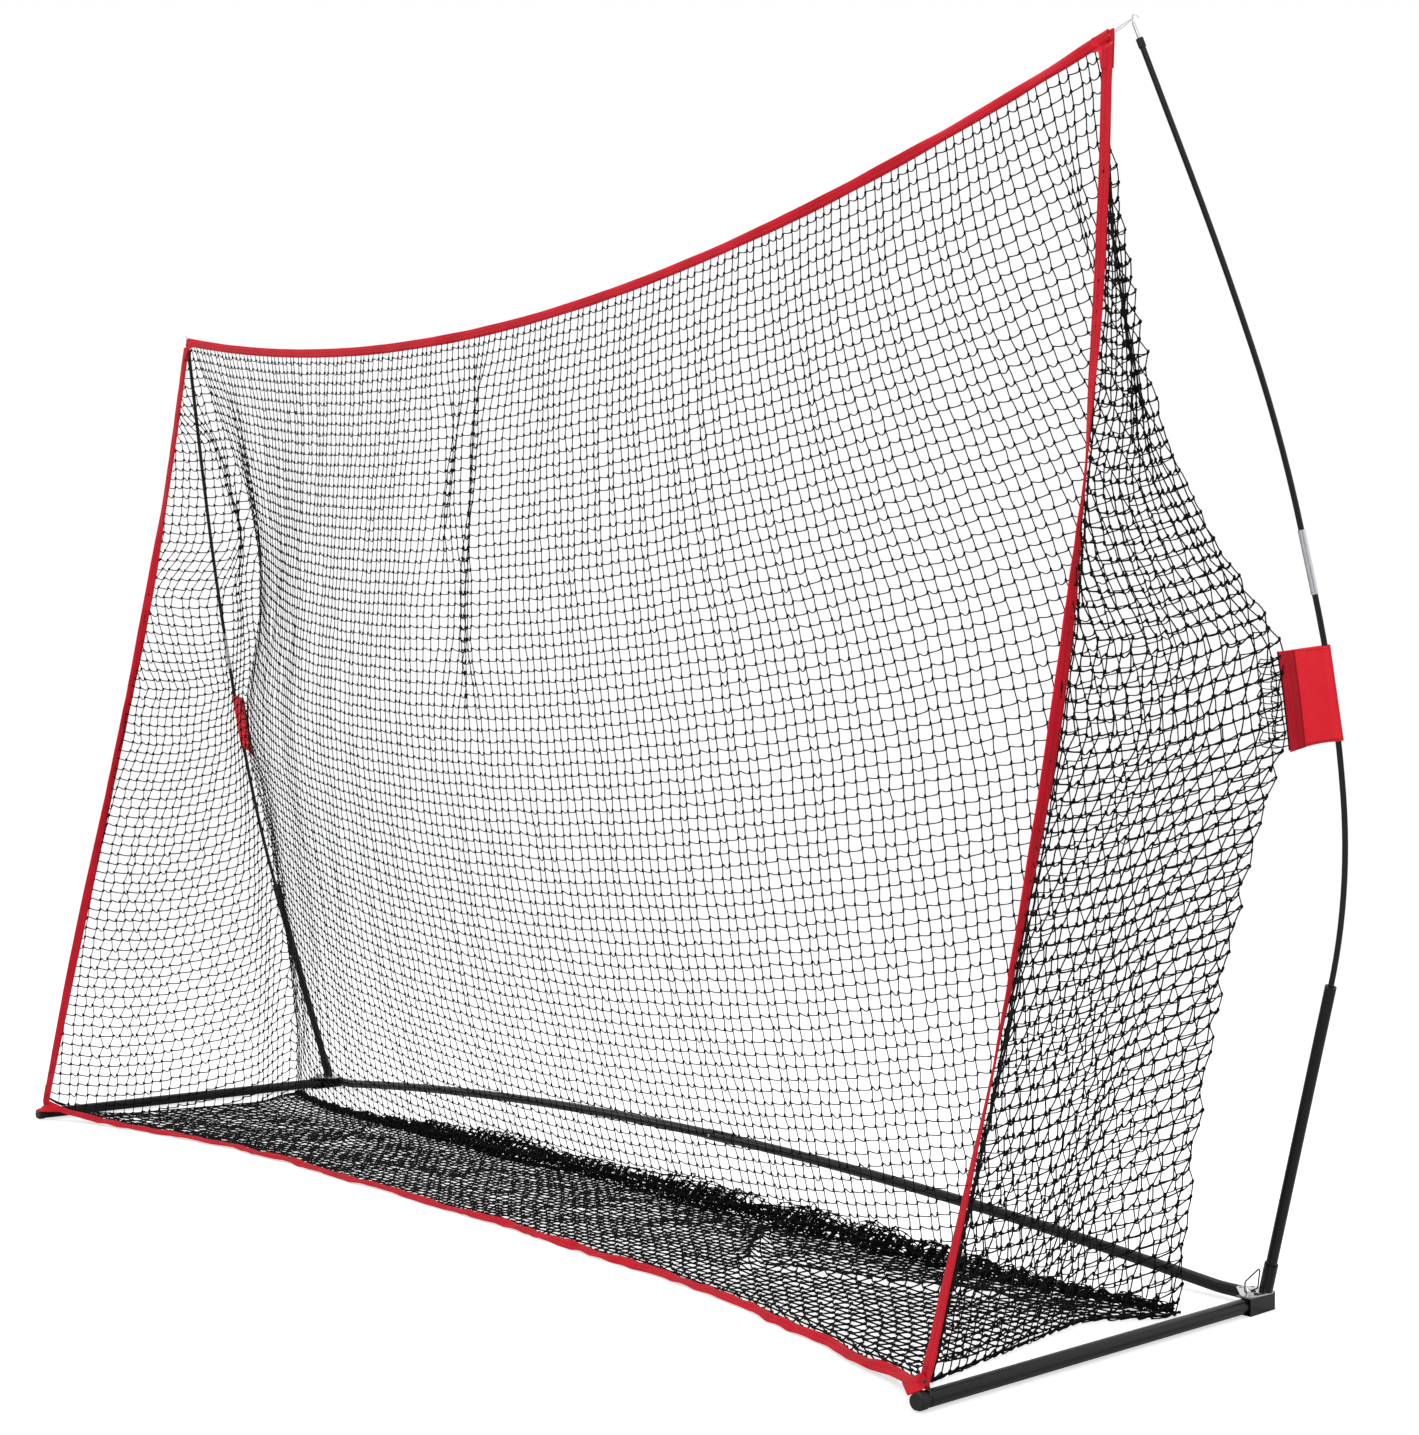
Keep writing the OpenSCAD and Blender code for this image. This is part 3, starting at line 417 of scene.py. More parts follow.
def powder_coat(name="black_steel"):
    m = Nodes(name)
    at = m.place()
    grain = m.noise(at, 900, 2)
    cloud = m.noise(at, 14, 4)
    scuff = m.ramp(m.noise(at, 160, 6, 0.7), 0.66, 0.72, 0, 1)
    dust = m.math("MULTIPLY", scuff, m.ramp(cloud, 0.45, 0.65, 0, 0.5))
    coat = m.blend(cloud, (0.006, 0.0056, 0.0062), (0.011, 0.0102, 0.011))
    colour = m.blend(dust, coat, (0.07, 0.069, 0.068))
    rough = m.ramp(cloud, 0.3, 0.7, 0.2, 0.3)
    return m.finish(colour, rough, grain, 0.1, 0.0003, Specular_IOR_Level=0.25)


def plated(name, base, stretch, rough):
    m = Nodes(name)
    at = m.place(scale=stretch)
    brush = m.noise(at, 220, 4, 0.7)
    cells = m.node("TexVoronoi", Vector=m.place(), Scale=110.0)
    spangle = m.math("MULTIPLY", cells.outputs["Distance"], 0.35)
    shade = m.math("ADD", spangle, m.math("MULTIPLY", brush, 0.65))
    colour = m.blend(shade, tuple(0.78 * c for c in base), base)
    worn = m.ramp(brush, 0.3, 0.7, rough - 0.07, rough + 0.1)
    return m.finish(colour, worn, brush, 0.12, 0.0003, Metallic=1.0)


def rod_finish(name="fibreglass"):
    m = Nodes(name)
    along = m.noise(m.place(scale=(1, 1, 0.02)), 700, 3)
    cloud = m.noise(m.place(), 22, 3)
    colour = m.blend(along, (0.007, 0.0065, 0.0075), (0.014, 0.013, 0.0145))
    rough = m.ramp(cloud, 0.3, 0.7, 0.16, 0.26)
    return m.finish(colour, rough, along, 0.1, 0.0003, Specular_IOR_Level=0.28)


def moulded(name, rough, grain, shine=0.3):
    m = Nodes(name)
    at = m.place()
    fine = m.noise(at, grain, 3)
    colour = m.blend(m.noise(at, 30, 3), (0.006, 0.006, 0.0065), (0.012, 0.012, 0.0125))
    worn = m.ramp(fine, 0.3, 0.7, rough - 0.06, rough + 0.08)
    return m.finish(colour, worn, fine, 0.25, 0.0004, Specular_IOR_Level=shine)


def braided(name, dark, light):
    m = Nodes(name)
    wave = m.node("TexWave", Vector=m.place("UV"), Scale=300, bands_direction="DIAGONAL", Distortion=0.6)
    strand = wave.outputs["Fac"]
    fuzz = m.noise(m.place(), 1500, 2)
    height = m.math("ADD", strand, m.math("MULTIPLY", fuzz, 0.4))
    return m.finish(m.blend(strand, dark, light), 0.85, height, 0.5, 0.0004, Sheen_Weight=0.2)


def twine(name="net_twine"):
    m = Nodes(name)
    at = m.place()
    cloud, fuzz = m.noise(at, 9, 4), m.noise(at, 1300, 2)
    colour = m.blend(m.math("MULTIPLY", cloud, fuzz), (0.002, 0.002, 0.0025), (0.012, 0.012, 0.013))
    rough = m.ramp(cloud, 0.3, 0.7, 0.68, 0.86)
    return m.finish(colour, rough, fuzz, 0.5, 0.0005, Specular_IOR_Level=0.12)


def woven(name, deep, light, seams, wear=0.25, dark=None, edged=False):
    """Woven ribbon or cloth. UV is in metres, u along the piece and v across it. seams are the
    places of two stitched lines in v, dark is the edge and softness of a band of painted shade,
    the shadow of the doubled cloth inside, and an edged ribbon gets darker towards its middle."""
    m = Nodes(name)
    flat = m.place("UV")
    axes = m.node("SeparateXYZ", Vector=flat)
    u, v = axes.outputs[0], axes.outputs[1]
    warp = m.node("TexWave", Vector=flat, Scale=420.0, bands_direction="X", Distortion=0.3)
    weft = m.node("TexWave", Vector=flat, Scale=420.0, bands_direction="Y", Distortion=0.3)
    cloth = m.math("MULTIPLY", warp.outputs["Fac"], weft.outputs["Fac"])
    cloud = m.noise(m.place(), 16, 4)
    crinkle = m.noise(m.place(), 65, 3)
    tone = m.ramp(m.math("ADD", cloud, m.math("MULTIPLY", cloth, 0.25)), 0.3, 0.85, 0, 1)
    colour = m.blend(tone, deep, light)
    height = m.math("ADD", m.math("MULTIPLY", cloth, 0.25), m.math("MULTIPLY", crinkle, 0.8))

    def from_line(place):
        return m.math("ABSOLUTE", m.math("SUBTRACT", v, place))

    if edged:
        shade = m.ramp(from_line(TRIM_W * MM / 2), 0.006, 0.0, 0, 0.55)
        colour = m.blend(shade, colour, tuple(0.66 * c for c in deep))
    # painted shade: a darker band across the cloth stands for the shadow of the doubled layers inside it
    if dark:
        shade = m.ramp(v, dark[0] + dark[1], dark[0] - dark[1], 0, 0.34)
        colour = m.blend(shade, colour, tuple(0.3 * c for c in deep))
    dash = m.math("LESS_THAN", m.math("FRACT", m.math("DIVIDE", u, STITCH)), 0.72)
    near = [m.math("LESS_THAN", from_line(place), 0.0007) for place in seams]
    thread = m.math("MULTIPLY", m.math("MAXIMUM", *near), dash)
    colour = m.blend(m.math("MULTIPLY", thread, 0.7), colour, tuple(0.45 * c for c in deep))
    height = m.math("SUBTRACT", height, m.math("MULTIPLY", thread, 0.6))
    rough = m.ramp(cloth, 0, 1, 0.62, 0.8)
    return m.finish(colour, rough, height, wear, 0.0006, Specular_IOR_Level=0.18)


MATERIALS = {
    "black_steel": powder_coat(),
    "zinc_plate": plated("zinc_plate", (0.66, 0.67, 0.69), (1, 1, 1), 0.26),
    "bright_steel": plated("bright_steel", (0.72, 0.73, 0.75), (1, 1, 0.04), 0.2),
    "fibreglass": rod_finish(),
    "black_plastic": moulded("black_plastic", 0.48, 1100),
    "coated_wire": moulded("coated_wire", 0.6, 600, 0.1),
    "elastic_cord": braided("elastic_cord", (0.006, 0.006, 0.007), (0.03, 0.03, 0.032)),
    "white_cord": braided("white_cord", (0.55, 0.55, 0.54), (0.86, 0.86, 0.85)),
    "net_twine": twine(),
    "red_ribbon": woven(
        "red_ribbon", (0.52, 0.004, 0.014), (0.78, 0.010, 0.03), (0.0035, 0.0185), edged=True
    ),
    # the binding carries a band of painted shade, the shadow of its doubled cloth
    "red_binding": woven(
        "red_binding", (0.56, 0.008, 0.02), (0.72, 0.018, 0.036), (0.002, 0.0185), 0.5, dark=(0.0155, 0.003)
    ),
    "red_fabric": woven("red_fabric", (0.9, 0.016, 0.03), (1.0, 0.03, 0.05), (0.004, 0.152), 0.6),
}
slot_of = {p["node"]: p["material_slot"] for p in frame["record"]["subparts"]}
for name, obj in frame["nodes"].items():
    obj.data.materials.clear()
    obj.data.materials.append(MATERIALS[slot_of[name]])
    obj.data.polygons.foreach_set("material_index", np.zeros(len(obj.data.polygons), np.int32))


def follow(obj, side, slot, *nodes):
    """A soft piece of one side: hides the parts it replaces and bakes its placement into its mesh."""
    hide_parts(*nodes)
    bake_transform(obj)


def fixed(obj, slot, *nodes, body="frame"):
    if nodes:
        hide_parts(*nodes)
    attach(obj, body)


# ---- the net round the frame, as one sheet of knots
Q = np.linspace(-2, 2, 241)
V = np.linspace(0, 1, 161)
grid = sheet_point(Q[:, None], V[None, :])
step_q = np.linalg.norm(np.diff(grid, axis=0), axis=-1)
ROUND = np.concatenate([np.zeros((1, len(V))), np.cumsum(step_q, 0)])
ROUND -= ROUND[len(Q) // 2]
step_v = np.linalg.norm(np.diff(grid, axis=1), axis=-1)
DOWN = np.concatenate([np.cumsum(step_v[:, ::-1], 1)[:, ::-1], np.zeros((len(Q), 1))], 1)


def look(table, q, v):
    x = np.clip((q + 2) / 4 * (len(Q) - 1), 0, len(Q) - 1.001)
    y = np.clip(v * (len(V) - 1), 0, len(V) - 1.001)
    i, j = x.astype(int), y.astype(int)
    fx, fy = x - i, y - j
    return mix(mix(table[i, j], table[i + 1, j], fx), mix(table[i, j + 1], table[i + 1, j + 1], fx), fy)


def spacing(v):
    """Distance between columns of knots: gathered along the top trim, drawn open lower down."""
    return 25.1 - 4.3 * ease((v - 0.45) / 0.5)


COLUMNS = 96
HANG_ROWS = 84
HEAP_ROWS = 22
ALL_ROWS = HANG_ROWS + HEAP_ROWS
K, J = np.meshgrid(np.arange(-COLUMNS, COLUMNS + 1), np.arange(ALL_ROWS + 1), indexing="ij")
PARITY = np.where((K + J) % 2 == 0, 1.0, -1.0)
# Gathered lines of the net: column at the line, how far it starts aside, first and last row, strength
FOLDS = [
    (-13.2, 0, 2, 16, 0.85),
    (-8.2, 0, 0, 28, 1.0),
    (-66.0, 0, 3, 20, 0.8),
    (69.0, 0, 1, 12, 0.7),
    (70.5, 11, 13, 36, 0.45),
    (-70.5, -11, 13, 30, 0.5),
]
GATHER = 4.5  # columns of surplus net that hang in a gather beside each rear edge
GATHER_AT = 46  # length of net from that edge to the gather
EDGE_COLUMN = 62  # column near a rear edge, where the search for each knot starts


def halve(table, falling, fixed_axis, target, low, high):
    """The place along one axis of a table where it reaches the target, by halving."""
    low, high = np.full(target.shape, float(low)), np.full(target.shape, float(high))
    for _ in range(18):
        middle = (low + high) / 2
        value = look(table, fixed_axis, middle) if falling else look(table, middle, fixed_axis)
        beyond = (value < target) if falling else (value > target)
        low, high = np.where(beyond, low, middle), np.where(beyond, middle, high)
    return (low + high) / 2


kk = K + 0.16 * drift(K * 0.93, J * 0.07, 3) + 0.2 * drift(K * 0.31, J * 0.13, 4)
kk = kk + 0.09 * drift(K * 0.11, J * 0.06, 14) * (-1.0) ** K
pleat = np.zeros_like(kk)
for line, aside, first, last, grip in FOLDS:
    centre = line + 0.3 * np.sin(J * 0.3 + line) - 0.03 * (J - 14) + aside * np.exp((first - J) / 5)
    grip = grip * ease((J - first) / 8) * ease((last + 8 - J) / 10)
    off = kk - centre
    kk = kk - grip * 2.1 * np.tanh(off / 1.6) * np.exp(-((off / 5.5) ** 2))
    pleat += grip * np.exp(-((off / 2.2) ** 2)) * np.cos((K - line) * 2.6) * 8
down = J * TWINE + 2.0 * drift(K * 0.4, J * 0.3, 5) * (J > 0)
q = np.clip(kk / EDGE_COLUMN, -1.9, 1.9)
v = np.clip(1 - J / HANG_ROWS, 0, 1)
hang = ease((J - 5) / 7) * ease((29 - J) / 8)
for _ in range(12):
    v = mix(v, halve(DOWN, True, q, down, 0, 1), 0.7)
    edge = look(ROUND, 1 + 0 * v, v)
    surplus = GATHER * hang * ease((np.abs(kk) - (edge + GATHER_AT) / spacing(v) + 1.6) / 7.5)
    want = (np.abs(kk) - surplus) * spacing(v) * np.sign(kk)
    q = halve(ROUND, False, v, want, -2, 2)
v = halve(DOWN, True, q, down, 0, 1)
from_gather = np.abs(np.abs(kk) - (edge + GATHER_AT) / spacing(v) - 2.1)
gathered = GATHER * hang * np.clip(1 - from_gather / 4.5, 0, 1)
outside = np.abs(want) > np.abs(look(ROUND, 2 * np.sign(kk + 1e-9), v)) - 1e-3
over = down - look(DOWN, q, 0 * v)  # length that is left once the ground is reached
P = sheet_point(q, v)
e = 0.004
row_way = unit(sheet_point(np.clip(q + e, -2, 2), v) - sheet_point(np.clip(q - e, -2, 2), v))
column_way = sheet_point(q, np.clip(v + e, 0, 1)) - sheet_point(q, np.clip(v - e, 0, 1))
normal = unit(np.cross(row_way, column_way))
loose = np.clip((np.abs(q) - 0.8) / 0.5, 0, 1)
ripple = (5 + 4 * loose) * drift(K * 0.16, J * 0.05, 6)
ripple += (1.4 + 0.2 * loose) * drift(K * 0.55, J * 0.45, 7)
ripple += gathered * 1.5 * drift(K * 0.9, J * 0.35, 15)
held = ease(J / 5) * ease((2 - np.abs(q)) / 0.12) * np.clip(v * 12, 0, 1)
P = P + normal * ((ripple + pleat) * held)[..., None]
# Slack meshes open into six-sided cells, most of all low in the side panels
zigzag = 0.5 + 1.2 * ease((0.5 - v) / 0.4) + loose * (1.0 + 1.8 * ease((0.55 - v) / 0.4))
zigzag = PARITY * zigzag
P = P + row_way * (zigzag * held)[..., None]
shake = np.random.default_rng(8).normal(0, 0.6, P.shape)
P = P + shake * (held * (1 + 0.2 * loose + 0.3 * gathered))[..., None]
# The slack at the foot of the back lies on the ground in loose folds
in_heap = (over > 0) & (np.abs(q) <= 1.0)
reach = 0.3 + 0.7 * ease((P[..., 0] + 1150) / 800)
reach = reach * (1 - 0.55 * ease((P[..., 0] - 850) / 500))
turnings = over / TWINE * np.pi + 0.7 * drift(K * 0.16, J * 0.3, 9)
rise = 0.5 - 0.5 * np.cos(turnings)
spikes = np.random.default_rng(11).normal(0, 1, P.shape)
heap_y = mix(-26, 6, rise) + 3.2 * spikes[..., 1] * rise + 9 * drift(K * 0.07, J * 0.25, 16)
heap_z = 3 + mix(0.035 * over, 13 + 0.05 * over + 2.6 * spikes[..., 2], rise) * ease(over / 40)
heap = vec(4 * spikes[..., 0] * rise, heap_y * reach * ease(over / 60), heap_z * reach)
P = np.where(in_heap[..., None], P + heap, P)
P[..., 2] = np.maximum(P[..., 2], KNOT_Z)
alive = ~outside & ((over < TWINE * 0.5) | in_heap | (np.abs(q) > 1.0) & (over < TWINE * 0.99))
P_UV = np.stack([(K + COLUMNS) / (2.0 * COLUMNS), 1 - J / ALL_ROWS], -1) * 0.96 + 0.02


def runs(mask):
    """Start and end of each unbroken stretch of True."""
    edges = np.flatnonzero(np.diff(np.concatenate([[0], mask.astype(int), [0]])))
    return list(zip(edges[::2], edges[1::2]))


KNOT = 3.4  # half of the height of a knot


def weave(points, uvs, parity, use_row, use_column, use_knot, sag_way, twine_size, slack, seed):
    """Rows and columns of twine through a grid of knots. use_row[i, j] is the strand from knot i
    to i + 1, use_column[i, j] that from j to j + 1. twine_size is the radius in rows and in
    columns, and how far the columns curve."""
    shape = Shape()
    row_r, column_r, curve = twine_size
    chance = np.random.default_rng(seed)
    gap = points[1:] - points[:-1]
    length = np.linalg.norm(gap, axis=-1)
    spare = np.sqrt(0.375 * np.clip(TWINE - 3 - length, 0.2, 14) * length) * slack
    sag = spare * chance.normal(1, 0.15, spare.shape)
    # A strand leaves one knot at its top and reaches the next at its bottom, or runs from bottom to bottom
    leave = np.where(parity[:-1] > 0, 0.8, -0.55) * KNOT + chance.normal(0, 0.5, spare.shape)
    arrive = -0.8 * KNOT + chance.normal(0, 0.4, spare.shape)
    t = np.array([0.03, 0.22, 0.45, 0.68, 0.86, 0.97])
    sag_t = np.array([0.0, 0.35, 0.95, 1.0, 0.55, 0.0])
    fat = np.array([1.25, 0.95, 0.85, 0.9, 1.05, 1.3])
    for j in range(points.shape[1]):
        for a, b in runs(use_row[:, j]):
            here = np.s_[a:b, j, None]
            lift = leave[here] * (1 - t) ** 1.5 + arrive[here] * t ** 1.5 - sag[here] * sag_t
            line = points[here] + gap[here] * t[:, None] - lift[..., None] * sag_way[here]
            uv = np.repeat(uvs[a:b, j], len(t), 0)
            shape.tube(line.reshape(-1, 3), row_r * np.tile(fat, b - a), 3, uv)
    bow = chance.normal(0.3, curve, (points.shape[0], points.shape[1] - 1))
    for i in range(points.shape[0]):
        for a, b in runs(use_column[i]):
            first, last = points[i, a:b], points[i, a + 1 : b + 1]
            side = bow[i, a:b, None] * unit(np.cross(last - first, sag_way[i, a:b] + [0.3, 1, 0.02]))
            inner = [mix(first, last, t) + side * h for t, h in ((0.3, 1.1), (0.7, 0.8))]
            line = np.vstack([np.stack([first, *inner], 1).reshape(-1, 3), points[i, b]])
            uv = np.vstack([np.repeat(uvs[i, a:b], 3, 0), uvs[i, b]])
            shape.tube(line, column_r, 3, uv)
    along = unit(-sag_way + chance.normal(0, 0.12, points.shape))
    out = unit(np.cross(along, np.array([0.9, 0.35, 0.1])))
    axes = [axis[use_knot] for axis in (along, np.cross(out, along), out)]
    size = (KNOT + 0.7, 1.75 * row_r, 1.6 * row_r)
    shape.knots(points[use_knot], *axes, size, uvs[use_knot])
    return shape


row_live = alive[1:] & alive[:-1]
row_ends = (alive[1:] ^ alive[:-1]) & ((over[1:] < TWINE * 0.5) & (over[:-1] < TWINE * 0.5))
row_use = np.zeros_like(alive)
row_use[:-1] = row_live | row_ends
column_live = alive[:, 1:] & alive[:, :-1]
column_ends = (alive[:, 1:] ^ alive[:, :-1]) & (outside[:, 1:] ^ outside[:, :-1])
column_use = np.zeros_like(alive)
column_use[:, :-1] = column_live | column_ends
sag_way = np.zeros_like(P) + [0.0, 0.0, -1.0]
wild = unit(np.random.default_rng(21).normal(0, 1, P.shape)) * 1.6
sag_way = np.where((in_heap & (over > 30))[..., None], wild, sag_way)
SIDE_CODE = 9
BACK_COLUMNS = 30  # in each piece of the back but the outer ones
region = np.where(np.abs(q) > 1.0, np.sign(q) * SIDE_CODE, np.clip(np.round(K / BACK_COLUMNS), -2, 2))
PIECES = {
    "net_back_far_left": -2,
    "net_back_left": -1,
    "net_back_middle": 0,
    "net_back_right": 1,
    "net_back_far_right": 2,
    "net_side_mesh_left": -SIDE_CODE,
    "net_side_mesh_right": SIDE_CODE,
}
# Of each part of the net: radius in rows and columns, curve of the columns
BACK_TWINE, SIDE_TWINE, FLOOR_TWINE = (1.34, 1.16, 0.7), (1.7, 1.3, 1.0), (2.0, 1.75, 1.0)
BACK_COVER, SIDE_COVER, FLOOR_COVER = 0.35, 0.46, 0.5  # share of the cut that is twine
net_pieces, net_cut = {}, {}  # cut of a piece: width and drop laid flat, and that share
for name, code in PIECES.items():
    here = region == code
    below = here & (J > 0)  # the first row is hidden in the trim
    on_side = abs(code) == SIDE_CODE
    cells = np.count_nonzero(column_use & here)
    size = SIDE_TWINE if on_side else BACK_TWINE
    used = (row_use & below, column_use & here, alive & below)
    shape = weave(P, P_UV, PARITY, *used, sag_way, size, 0.85, 30 + code)
    net_pieces[name] = shape.build(name, MATERIALS["net_twine"])
    drop = (HANG_ROWS if on_side else ALL_ROWS) * TWINE * MM
    net_cut[name] = (cells * (TWINE * MM) ** 2 / drop, drop, SIDE_COVER if on_side else BACK_COVER)

# ---- floor of the net
FLOOR_COLUMNS, FLOOR_ROWS = 65, 26


def floor_point(u, w):
    edge = 0.975
    corner = bottom_edge(np.array(edge))
    front, back = bottom_edge(edge * u), crease(u) + [0, 8, 0]
    side = hem(w, corner)
    a, w3 = (u[..., None] + 1) / 2, w[..., None]
    rear = mix(crease(np.array(-1.0)), crease(np.array(1.0)), a)
    flat = mix(mix(corner * [-1, 1, 1], corner, a), rear, w3)
    p = mix(side * [-1, 1, 1], side, a) + mix(front, back, w3) - flat
    p[..., 2] = mix(front[..., 2], 3.0, np.minimum(1, 3 * w))
    return p


floor_columns = np.arange(-FLOOR_COLUMNS, FLOOR_COLUMNS + 1)
FK, FJ = np.meshgrid(floor_columns, np.arange(FLOOR_ROWS + 1), indexing="ij")
fu = (FK + 0.12 * drift(FK * 0.6, FJ * 0.3, 40)) / FLOOR_COLUMNS
fw = np.clip(FJ / FLOOR_ROWS + 0.006 * drift(FK * 0.2, FJ * 0.3, 41), 0, 1)
G = floor_point(np.clip(fu, -1, 1), fw)
inside = ease(FJ / 2) * ease((FLOOR_COLUMNS - np.abs(FK)) / 3)
G[..., 0] += inside * 6 * drift(FK * 0.12, FJ * 0.16, 42)
G[..., 1] += inside * 5 * drift(FK * 0.11, FJ * 0.2, 43)
G[..., 2] += inside * (2.2 + 2.6 * drift(FK * 0.3, FJ * 0.3, 44) + 1.2 * drift(FK * 0.9, FJ * 0.9, 45))
# Shallow folds across the floor: both ends, height, half width
FLOOR_FOLDS = [
    (560, 190, 800, -140, 13, 17),
    (760, -60, 1250, 150, 9, 16),
    (-900, 180, -700, -60, 7, 20),
]
for x0, y0, x1, y1, tall, wide in FLOOR_FOLDS:
    fold_length = math.hypot(x1 - x0, y1 - y0)
    way = np.array([x1 - x0, y1 - y0]) / fold_length
    d = G[..., :2] - [x0, y0]
    along_fold = d @ way
    off = d @ np.array([-way[1], way[0]])
    within = ease(along_fold / 80) * ease((fold_length - along_fold) / 80) * inside
    bump = np.exp(-((off / wide) ** 2)) * within
    G[..., 2] += tall * bump
    G[..., 0] += way[1] * off * 0.45 * bump
    G[..., 1] -= way[0] * off * 0.45 * bump
G[..., 2] = np.maximum(G[..., 2], KNOT_Z)
G_UV = np.stack([(FK + FLOOR_COLUMNS) / (2.0 * FLOOR_COLUMNS), FJ / FLOOR_ROWS], -1) * 0.96 + 0.02
FLOOR_PARITY = np.where((FK + FJ) % 2 == 0, 1.0, -1.0)
shake = np.random.default_rng(46).normal(0, 0.7, G.shape) * inside[..., None] * [1, 1, 0.3]
G += (FLOOR_PARITY * inside * 4.6)[..., None] * [1.0, 0.15, 0.0] + shake
floor_way = np.zeros_like(G) + unit(np.array([0.12, -1.0, 0.0]))
for side, here in (("left", FK < 0), ("right", FK >= 0)):
    name = "net_floor_mesh_" + side
    knots = here & (FJ > 0)
    used = (knots & (FK < FLOOR_COLUMNS), here & (FJ < FLOOR_ROWS), knots)
    shape = weave(G, G_UV, FLOOR_PARITY, *used, floor_way, FLOOR_TWINE, 0.5, 50)
    net_pieces[name] = shape.build(name, MATERIALS["net_twine"])
    net_cut[name] = (FLOOR_COLUMNS * TWINE * MM, FLOOR_ROWS * TWINE * MM, FLOOR_COVER)


# ---- ribbons
def ribbon(name, line, across, material, width=TRIM_W, thick=TRIM_T + 1, curl=0.0, slant=0.0):
    """A ribbon folded over the edge of the net: two layers, open on the side of the net.
    slant shears its ends."""
    way = unit(np.gradient(line, axis=0))
    across = unit(across - (across * way).sum(-1, keepdims=True) * way)
    out = np.cross(way, across)
    h, t, layer = width / 2, thick / 2, thick * 0.36
    face = [(h, t), (h * 0.35, t * 1.06), (-h * 0.3, t * 0.98), (-h + 1.2, t), (-h + 0.3, t * 0.62)]
    back = [(x, -y) for x, y in reversed(face)]
    inner = [(h, -t + layer), (-h + 2, -t + layer), (-h + 2, t - layer), (h, t - layer)]
    c = np.array(face + [(-h, 0)] + back + inner)
    n, m = len(line), len(c)
    x = c[None, :, :1]
    rise = c[None, :, 1:] + curl * (x / h) ** 2
    shear = np.broadcast_to(slant, (n,))[:, None, None] * x
    verts = line[:, None] + x * across[:, None] + rise * out[:, None] + shear * way[:, None]
    quads = grid_faces(n, m, wrap_cols=True)[:, [0, 3, 2, 1]]
    length = run_length(line)
    uv = np.stack(np.broadcast_arrays(length[:, None], h - c[None, :, 0]), -1) * MM
    caps = [np.arange(m)[None], ((n - 1) * m + np.arange(m)[::-1])[None]]
    obj = new_object(name, verts.reshape(-1, 3), [quads, *caps], material, uv.reshape(-1, 2))
    return obj


def ripple_line(line, across, seed, long_wave, tall, short_wave, small):
    """Moves a line out of its plane in two sizes of wave."""
    length = run_length(line)
    out = unit(np.cross(unit(np.gradient(line, axis=0)), across))
    end = ease(length / 60) * ease((length[-1] - length) / 60)
    move = tall * drift(length / long_wave, 0 * length + 0.5, seed)
    move += small * drift(length / short_wave, 0 * length + 0.5, seed + 1)
    return line + out * (move * end)[:, None]


red = MATERIALS["red_ribbon"]
base = top_edge(np.linspace(-1, 1, 321))
length = run_length(base)
line = ripple_line(base, np.array([0, 0, 1.0]), 60, 190, 1.6, 46, 0.7)
tilt = np.radians(8 + 10 * drift(length / 260, 0 * length, 62) + 7 * drift(length / 75, 0 * length, 63))
across = -vec(0 * tilt, np.sin(tilt), np.cos(tilt))
trim_top = ribbon("ribbon_top", line, across, red, curl=0.5)

for side, s in SIDES:
    mirror = np.array([s, 1, 1])
    base = bottom_edge(np.linspace(0, 0.987, 201))
    length = run_length(base)
    away = length + (3000 if s < 0 else 0)  # so that the two halves differ
    free = ease(length / 90) * ease((length[-1] - length) / 120)
    base[:, 1] += free * (5.5 * drift(away / 120, 0 * away, 64) + 3.4 * drift(away / 47, 0 * away, 65))
    base[:, 2] += 1.8 + free * (2.6 * np.abs(drift(away / 60, 0 * away, 66)) + 1.5)
    roll = 16 * drift(away / 85, 0 * away, 67) + 10 * drift(away / 36, 0 * away, 68)
    roll = np.radians((1 if s > 0 else 0.5) * free * roll + 7 * ease(length / 90))
    across = vec(0 * roll, np.cos(roll), np.abs(np.sin(roll)))
    base[:, 2] = np.maximum(base[:, 2], TRIM_T / 2 + CLEAR + np.abs(across[:, 2]) * TRIM_W / 2)
    obj = ribbon("ribbon_bottom_" + side, base * mirror, across, red)
    follow(obj, side, "red_ribbon", "trim_bottom")

    v = np.linspace(0.008, 0.992, 241)
    twist = 169 - 93 * ease((v + 0.035) / 0.5) + 95 * ease((v - 0.5) / 0.3)
    a = np.radians(twist + 7 * drift(v * 13, 0 * v, 70 + s))
    across = vec(np.cos(a), np.sin(a), 0 * a)
    line = ripple_line(side_edge(v), across, 72 + s, 150, 1.5, 40, 0.8) * mirror
    obj = ribbon("ribbon_side_" + side, line, across * mirror, red, curl=0.6)
    follow(obj, side, "red_ribbon", "trim_side_" + side)
fixed(trim_top, "red_ribbon", "trim_top")


